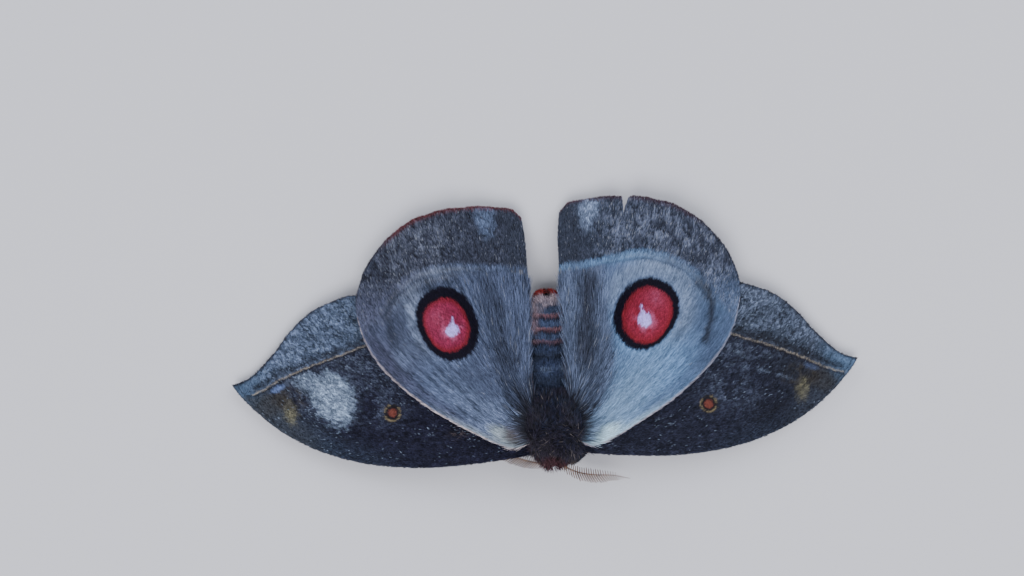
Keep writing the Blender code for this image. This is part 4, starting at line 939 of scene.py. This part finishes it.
def paintBody(x, y, height, sideways):
    speck = mottle(x * 1.6 + 9, y * 1.6, 13)
    patchy = mottle(x * .7 + 3, y * .7, 19)
    colour = np.ones((len(x), 3)) * (.006, .0072, .0175)
    lay(colour, (.014, .0112, .0178), rise(patchy, .42, .66) * .75)
    lay(colour, (.0135, .02, .037), rise(speck, .5, .7) * rise(y, .5, 2.0) * .6)
    lay(colour, (.0122, .0095, .016), rise(y, .8, -.8) * .7)
    lay(colour, (.036, .0125, .016), rise(y + .5 * (speck - .5) + .3 * x, -1.0, -1.9) * .9)
    # slate-blue abdomen with rosy rings, rosy flanks and a tan, red-rimmed end
    slate = np.ones((len(x), 3)) * (.043, .061, .114) * (.4 + 1.2 * speck)[:, None]
    lay(slate, (.022, .031, .066), rise(y, 10.4, 9.4) * .55)
    lay(slate, (.014, .019, .034), rise(y, 7.1, 6.5) * .7)
    # painted highlight across the abdomen a little behind the thorax
    lay(slate, (.085, .11, .165), hill(y - 7.5, .42) * rise(speck, .35, .6) * .65)
    lay(slate, (.012, .015, .022), hill(y - 8.9, .45) * .8)
    for at, strength in ((10.4, .5), (11.78, .9), (13.32, .9)):
        bend = at + .14 * sideways ** 2 + .25 * (grain(x * 2.5, y * 0, 16) - .5)
        lay(slate, (.008, .008, .012), hill(y - bend + .26, .18) * .85)
        lay(slate, (.19, .08, .094), hill(y - bend - .04, .18) * strength)
        # a painted highlight just behind each rosy ring, stronger on the left side
        lay(slate, (.33, .22, .24), hill(y - bend - .14, .14) * strength * (.3 + .6 * rise(-sideways, 0, .8)))
    flank = rise(-sideways, .35, .75) * rise(y, 10.9, 12.1)
    lay(slate, (.34, .24, .28), flank * .72 * rise(speck, .25, .5))
    lay(slate, (.33, .27, .3), rise(y + .9 * (speck - .5) - .3 * sideways, 13.95, 14.75) * .9)
    lay(slate, (.045, .055, .09), hill(y - 14.6, .5) * rise(speck, .45, .6) * .85)
    lay(slate, (.215, .026, .024), rise(y + .5 * (speck - .5) + .5 * np.abs(sideways), 15.95, 16.35))
    lay(colour, slate, rise(y + .8 * (speck - .5), 4.8, 5.5))
    below = rise(height, -.2, -.7)
    lay(colour, (.055, .04, .036), below * rise(y, 4, 6) * .7)
    # painted shade in the pit at the end of the abdomen
    hole = inOval(x, y, body["pit"], body["pitHalf"]) + (height < 0) * 9
    return lay(colour, (.004, .003, .004), 1 - rise(hole, .85, 1.25))


def buildBody():
    around, along = body["around"], body["along"]
    line = runCurve(body["stations"], np.linspace(0, 1, along + 1))
    angle = 2 * np.pi * np.arange(around) / around - np.pi / 2     # seam along the belly
    y = np.repeat(line[:, 0], around)
    cosine, sine = np.tile(np.cos(angle), along + 1), np.tile(np.sin(angle), along + 1)
    halfWidth, halfHeight = np.repeat(line[:, 3], around), np.repeat(line[:, 4], around)
    for ring in body["rings"]:     # each segment tucks under the one in front
        tuck = 1 - body["pinch"] * hill(y - ring - .05, .2) * rise(sine, -.9, -.2)
        halfWidth, halfHeight = halfWidth * tuck, halfHeight * tuck
    x = np.repeat(line[:, 1], around) + cosine * halfWidth
    z = np.repeat(line[:, 2], around) + sine * halfHeight
    pit = inOval(x, y, body["pit"], body["pitHalf"])
    z = np.maximum(z - np.where(sine > 0, .5 * (1 - rise(pit, .4, 1.1)), 0), .02)
    faces = sleeve(along, around)
    corners = [pair for a in range(along) for b in range(around)
               for pair in ((a / along, b / around), ((a + 1) / along, b / around),
                            ((a + 1) / along, (b + 1) / around), (a / along, (b + 1) / around))]
    for level, order in ((0, 1), (along, -1)):
        cap = list(range(around))[::order]
        faces.append(tuple(level * around + k for k in cap))
        corners += [(level / along, k / around) for k in cap]
    mesh = makeMesh("body_skin", toScene(np.column_stack([x, y, z])), faces)
    giveMap(mesh, "skinUv", .02 + .96 * np.array(corners))
    # the coat is parted over the shoulders: forward over the head, back behind, outwards over the wing roots
    shaggy, onHead = rise(y, 5.6, 4.2), rise(y, -.5, -1.5)
    ruffled = mottle(x * .9 + 7, y * .9, 18) - .5
    turned = np.pi * rise(y + 2.6 * ruffled, 1.2, -1.2)     # from backwards, by way of the left, to forwards
    flank = rise(np.abs(cosine), .45, .9) * rise(sine, -.1, .15) * (1 - .75 * rise(y, 1.8, 3.8))
    tail = rise(y, 14.4, 15.6)
    wander = 1.7 * (mottle(x * 1.5 + 4, y * 1.5, 14) - .5)
    normal = np.column_stack([cosine / halfWidth, 0 * y, sine / halfHeight])
    normal /= np.linalg.norm(normal, axis=1)[:, None]
    slope = np.gradient(line[:, 2] + line[:, 4], line[:, 0])     # the coat follows the rise of the back
    climb = np.repeat(slope, around) * np.clip(sine, 0, 1)
    out = cosine * (.45 * shaggy * rise(y, 6.0, 3.0) + .9 * shaggy * flank + .12 + .55 * tail)
    out = out + wander * shaggy - .15 * onHead
    lie = np.column_stack([out - .5 * np.sin(turned), np.cos(turned) * (1 - .45 * flank * shaggy), 0 * y])
    lie[:, 2] = lie[:, 1] * climb
    lie = lie - normal * (lie * normal * (1, 0, 1)).sum(1)[:, None] * (np.abs(cosine) > .2)[:, None]
    low = rise(sine, 0.0, -.6)
    length = 1.3 + .65 * flank - .8 * onHead - .5 * low - .25 * hill(y, 1.3)
    length = length - .2 * rise(np.abs(cosine), .4, .8) * rise(y, 1.6, 3.2) - .15 * rise(y, -1.8, -2.3)
    length = np.maximum(length, .32)     # short on the face
    length = length * rise(y, 5.4, 4.2) + .62 * rise(y, 4.2, 5.4)
    length = length + rise(y, 9, 12) * .3 * np.abs(cosine) ** 3 * (1 - tail) - .08 * tail
    width = .085 + .025 * (y < 5) - .02 * onHead
    lift = np.radians(9 + 2 * shaggy * (1 - flank) - 4 * onHead + 6 * tail + 3 * hill(y, 1.2)
                      + 45 * rise(y, -1.95, -2.4) * rise(sine, -.5, .2)) * rise(z, .1, .9)
    near = np.ones(len(x))
    for side in (-1, 1):     # the fur stands back from the eyes
        gap = np.sqrt(((x - eyes["at"][0] * side - eyes["middle"]) / .8) ** 2 + ((y - eyes["at"][1]) / .9) ** 2
                      + ((z - eyes["at"][2]) / 1.0) ** 2)
        near = near * rise(gap, .75, 1.1)
    collar = hill(y + 1.2 * ruffled - .2, 1.3)
    giveFields(mesh, tint=paintBody(x, y, sine, cosine), lie=lie, cut=np.column_stack([length, width, lift]),
               cover=near * rise(y, 5.7, 4.6) * (1 - .4 * low) * (1 + .3 * flank),
               fleck=.007 + .03 * rise(y, 1.6, 0.0) * rise(y, -2.3, -1.8), wild=.95 - .35 * rise(y, 5, 6),
               swing=.25 + shaggy * (.5 - .1 * rise(y, 1.8, 3.2) + 1.7 * collar))
    return mesh, rise(y, 4.3, 5.3) * rise(z, .12, .4)


mesh, onAbdomen = buildBody()
show("body_skin", mesh, finish["bodyPelt"], ("thorax", "head", "abdomen"))
growCoat("thorax_fur", mesh, furTuft, body["fur"], 301, "bodyFur", (.15, .13, .122), .17)
mesh.attributes["cover"].data.foreach_set("value", np.asarray(onAbdomen, np.float32))
mesh.attributes["fleck"].data.foreach_set("value", np.zeros(len(onAbdomen), np.float32))
growCoat("abdomen_fur", mesh, scaleTuft, body["abdomenFur"], 302, "hindwingHair", (.24, .24, .28), .15)
print("body is furred")


# eyes
def hornMaterial(name, specular, roughness, pattern, scale, stops, bump, depth, coat=0.0, invert=False):
    # two colours and a fine relief from one pattern
    material, tree, shader = startMaterial(name, specular)
    where = addNode(tree, "ShaderNodeTexCoord").outputs["Object"]
    value = addNode(tree, pattern, {"Scale": scale, "Vector": where}).outputs[0]
    ramp = addNode(tree, "ShaderNodeValToRGB", {"Fac": value})
    for element, (position, colour) in zip(ramp.color_ramp.elements, stops):
        element.position = position
        element.color = (*colour, 1)
    feed(shader, {"Base Color": ramp.outputs["Color"], "Roughness": roughness, "Coat Weight": coat,
                  "Normal": relief(tree, value, bump, depth, invert)})
    return material


def buildEye(side, word, material):
    around, down = 40, 24
    points = [(0, 0, 1)]
    turns = [2 * math.pi * k / around for k in range(around)]
    for r in range(1, down):
        tilt = math.pi * r / down
        points += [(math.sin(tilt) * math.cos(a), math.sin(tilt) * math.sin(a), math.cos(tilt)) for a in turns]
    points.append((0, 0, -1))
    last = len(points) - 1
    faces = [(0, 1 + k, 1 + (k + 1) % around) for k in range(around)]
    foot = 1 + (down - 2) * around
    faces += [(last, foot + (k + 1) % around, foot + k) for k in range(around)]
    faces += sleeve(down - 2, around, 1)
    middle = (eyes["middle"] + eyes["at"][0] * side, eyes["at"][1], eyes["at"][2])
    placed = np.array(points) * eyes["half"] + middle
    name = f"eye_{word}_ball"
    show(name, makeMesh(name, toScene(placed), faces), material, [f"eye_{word}"])


eyeFacets = hornMaterial("eyeFacets", .35, .3, "ShaderNodeTexVoronoi", 16000,
                         ((0, (.02, .012, .01)), (1, (.004, .003, .003))), .6, .02, .15, True)
buildEye(-1, "left", eyeFacets)
buildEye(1, "right", eyeFacets)


# legs
legs = {
    "paths": {
        "leg_fore_left": ((-1.0, .2, 3.0), (-2.3, -.9, 2.0), (-3.5, -.4, .75), (-5.6, .4, .24)),
        "leg_fore_right": ((1.0, .1, 3.0), (1.95, -2.2, 2.1), (3.2, -1.5, .75), (5.2, -.5, .24)),
        "leg_mid_left": ((-1.2, 1.7, 2.9), (-3.9, 2.1, 2.6), (-6.0, 3.2, .75), (-8.6, 4.4, .24)),
        "leg_mid_right": ((1.2, 1.7, 2.9), (3.9, 2.1, 2.6), (6.1, 3.0, .75), (8.8, 4.0, .24)),
        "leg_hind_left": ((-1.2, 2.9, 2.9), (-4.0, 4.4, 2.5), (-5.2, 7.6, .75), (-6.2, 10.6, .24)),
        "leg_hind_right": ((1.2, 2.9, 2.9), (4.0, 4.4, 2.5), (5.3, 7.5, .75), (6.5, 10.4, .24)),
    },
    "thick": ((0.0, .62), (.28, .68), (.36, .52), (.62, .44), (.7, .3), (.97, .24), (1.0, .12)),
    "around": 12, "along": 60, "tufts": 170, "sides": 6,
}


def tube(line, radii, around):
    points = []
    for i, middle in enumerate(line):
        way = Vector(line[min(i + 1, len(line) - 1)]) - Vector(line[max(i - 1, 0)])
        across = way.cross(Vector((0, 0, 1))).normalized()
        up = across.cross(way.normalized())
        for k in range(around):
            angle = 2 * math.pi * k / around
            points.append(Vector(middle) + across * (math.cos(angle) * radii[i]) + up * (math.sin(angle) * radii[i]))
    last = (len(line) - 1) * around
    caps = [tuple(range(around)), tuple(range(last, last + around))[::-1]]
    return points, sleeve(len(line) - 1, around) + caps


def buildLegs():
    points, faces, corners, lies, shares = [], [], [], [], []
    around, along = legs["around"], legs["along"]
    for number, path in enumerate(legs["paths"].values()):
        t = np.linspace(0, 1, along)
        line = np.array(path, float)
        lengths = np.concatenate([[0], np.cumsum(np.linalg.norm(np.diff(line, axis=0), axis=1))])
        straight = np.column_stack([np.interp(t * lengths[-1], lengths, line[:, k]) for k in range(3)])
        smooth = runCurve(path, t)
        line = .6 * straight + .4 * smooth
        radii = np.interp(t, *zip(*legs["thick"])) / 2
        radii = radii * (1 + .08 * np.sin(t * 60) * (t > .7))
        line[:, 2] = np.maximum(line[:, 2], radii + .02)
        made, sides = tube(line, radii, around)
        base = len(points)
        points += made
        faces += [tuple(base + k for k in face) for face in sides]
        way = np.gradient(line, axis=0)
        lies += [tuple(w) for w in way for _ in range(around)]
        shares += [s for s in t for _ in range(around)]
        for face in sides:
            for place4, k in enumerate(face):
                turnUp = around if place4 in (2, 3) and k % around == 0 and len(face) == 4 else k % around
                corners.append(((number + turnUp / around) / legs["sides"], (k // around) / along))
    mesh = makeMesh("legs_skin", toScene([tuple(p) for p in points]), faces)
    giveMap(mesh, "skinUv", corners)
    shares = np.array(shares)
    spot = mottle(shares * 14, shares * 0 + 3, 17)
    tint = lay(np.ones((len(shares), 3)) * (.022, .028, .048), (.06, .048, .042), rise(spot, .45, .7))
    height = np.array([p[2] for p in points])
    length = np.minimum(.62 - .36 * rise(shares, .62, .75), .9 * height)
    giveFields(mesh, tint=lay(tint, (.03, .022, .018), rise(shares, .7, 1.0)), lie=lies,
               cut=np.column_stack([length, .09 + 0 * shares, np.radians(22) + 0 * shares]),
               cover=rise(shares, 1.0, .93) * rise(height, .25, .5), fleck=.03, wild=.4, swing=.3)
    return mesh


mesh = buildLegs()
show("legs_skin", mesh, finish["bodyPelt"], legs["paths"])
growCoat("legs_hair", mesh, scaleTuft, legs["tufts"], 401, "legHair", (.25, .22, .2), .25)
print("legs are in place")


# feelers
antennae = {
    "left": ((-.75, -2.35, 4.45), (-1.6, -2.35, 4.1), (-2.9, -2.05, 3.55), (-4.3, -1.6, 3.0), (-5.9, -1.0, 2.5),
             (-7.6, -.3, 2.1)),
    "right": ((.6, -2.45, 4.45), (1.35, -3.0, 4.2), (2.6, -3.55, 3.7), (4.3, -3.9, 3.2), (6.2, -4.05, 2.8),
              (8.2, -4.5, 2.5)),
    "pairs": 31, "shaft": .085, "comb": 1.05, "short": .58, "bare": .9, "barb": .08, "leans": (-.08, .68),
}


def barbPair(side):
    # two barbs that sweep out and forward from the shaft, the longer one in front
    points, faces = [], []
    for out, reach, lean in ((-side, antennae["short"], antennae["leans"][0]), (side, .8, antennae["leans"][1])):
        line = [(out * reach * t, lean * t ** 1.2, -.15 * t * t) for t in np.linspace(0, 1, 7)]
        radii = [antennae["barb"] * (1.1 - .45 * t) * (.75 if out == -side else 1.0) for t in np.linspace(0, 1, 7)]
        made, sides = tube(line, radii, 4)
        base = len(points)
        points += [tuple(p) for p in made]
        faces += [tuple(base + k for k in face) for face in sides]
    return makeObject("barbPair", makeMesh("barbPair", points, faces))


def combTree():
    tree, start, end = startTree("GeometryNodeTree", "plantComb", [
        ("Geometry", "Geometry"), ("Barbs", "Object"), ("Pairs", "Int"), ("Shaft", "Float"), ("Comb", "Float"),
        ("Bare From", "Float"), ("Seed", "Int"), ("Material", "Material")], [("Geometry", "Geometry")])
    spine = addNode(tree, "GeometryNodeMeshToCurve", {"Mesh": start["Geometry"]}).outputs[0]
    fine = addNode(tree, "GeometryNodeResampleCurve", {"Curve": spine, "Count": 90})
    ring = addNode(tree, "GeometryNodeCurvePrimitiveCircle", {"Resolution": 10, "Radius": start["Shaft"]})
    share = addNode(tree, "GeometryNodeSplineParameter").outputs["Factor"]
    taper = addNode(tree, "ShaderNodeMapRange", {"Value": share, "To Min": 1.0, "To Max": .3})
    tapered = addNode(tree, "GeometryNodeCurveToMesh", {"Curve": fine.outputs[0], "Profile Curve": ring.outputs[0],
                                                        "Fill Caps": True, "Scale": taper.outputs["Result"]})
    # one pair of barbs at each step, longest a third of the way out, none at the bare tip
    steps = addNode(tree, "GeometryNodeResampleCurve", {"Curve": spine, "Count": start["Pairs"]})
    capture = addNode(tree, "GeometryNodeCaptureAttribute")
    capture.capture_items.new("FLOAT", "share")
    feed(capture, {"Geometry": steps.outputs[0], 1: share})
    tangent = addNode(tree, "GeometryNodeInputTangent").outputs[0]
    axes = addNode(tree, "FunctionNodeAxesToRotation", {"Primary Axis": tangent, "Secondary Axis": (0, 0, 1)},
                   primary_axis="Y", secondary_axis="Z")
    wave = addNode(tree, "ShaderNodeFloatCurve", {"Value": capture.outputs[1]})
    curve = wave.mapping.curves[0]
    curve.points[0].location = (0.0, .35)
    curve.points[1].location = (1.0, 0.0)
    for at in ((.12, .75), (.35, 1.0), (.7, .75), (.86, .35)):
        curve.points.new(*at)
    wave.mapping.update()
    wobble = addNode(tree, "FunctionNodeRandomValue", {2: .9, 3: 1.08, "Seed": start["Seed"]}, data_type="FLOAT")
    size = calculate(tree, "MULTIPLY", wave.outputs[0], start["Comb"])
    model = addNode(tree, "GeometryNodeObjectInfo", {"Object": start["Barbs"]})
    copies = addNode(tree, "GeometryNodeInstanceOnPoints", {
        "Points": capture.outputs[0], "Instance": model.outputs["Geometry"], "Rotation": axes.outputs[0],
        "Selection": calculate(tree, "LESS_THAN", capture.outputs[1], start["Bare From"]),
        "Scale": calculate(tree, "MULTIPLY", size, wobble.outputs[1])})
    both = addNode(tree, "GeometryNodeJoinGeometry", {0: copies.outputs[0]})
    feed(both, {0: tapered.outputs[0]})
    solid = addNode(tree, "GeometryNodeRealizeInstances", {"Geometry": both.outputs[0]})
    paint = addNode(tree, "GeometryNodeSetMaterial", {"Geometry": solid.outputs[0], "Material": start["Material"]})
    feed(end, {"Geometry": paint.outputs[0]})
    return tree


plantComb = combTree()
antennaHorn = hornMaterial("antennaHorn", .4, .5, "ShaderNodeTexNoise", 2600,
                           ((.35, (.06, .031, .017)), (.7, (.185, .104, .057))), .3, .01)


def buildAntenna(word, side, seed):
    barbs = barbPair(side)
    line = runCurve(antennae[word], np.linspace(0, 1, 60))
    spine = bpy.data.meshes.new("spine")
    spine.from_pydata([tuple(p) for p in toScene(line)], [(k, k + 1) for k in range(59)], [])
    name = f"antenna_{word}_comb"
    mesh = runTree(plantComb, name, spine, {
        "Barbs": barbs, "Pairs": antennae["pairs"], "Shaft": antennae["shaft"] * mm, "Comb": antennae["comb"] * mm,
        "Bare From": antennae["bare"], "Seed": seed, "Material": antennaHorn})
    bpy.data.objects.remove(barbs)
    mesh.polygons.foreach_set("use_smooth", [True] * len(mesh.polygons))
    show(name, mesh, nodes=[f"antenna_{word}"])


buildAntenna("left", -1, 5)
buildAntenna("right", 1, 6)
print("feelers are combed")

for pattern in (scaleTuft, furTuft):
    bpy.data.objects.remove(pattern)
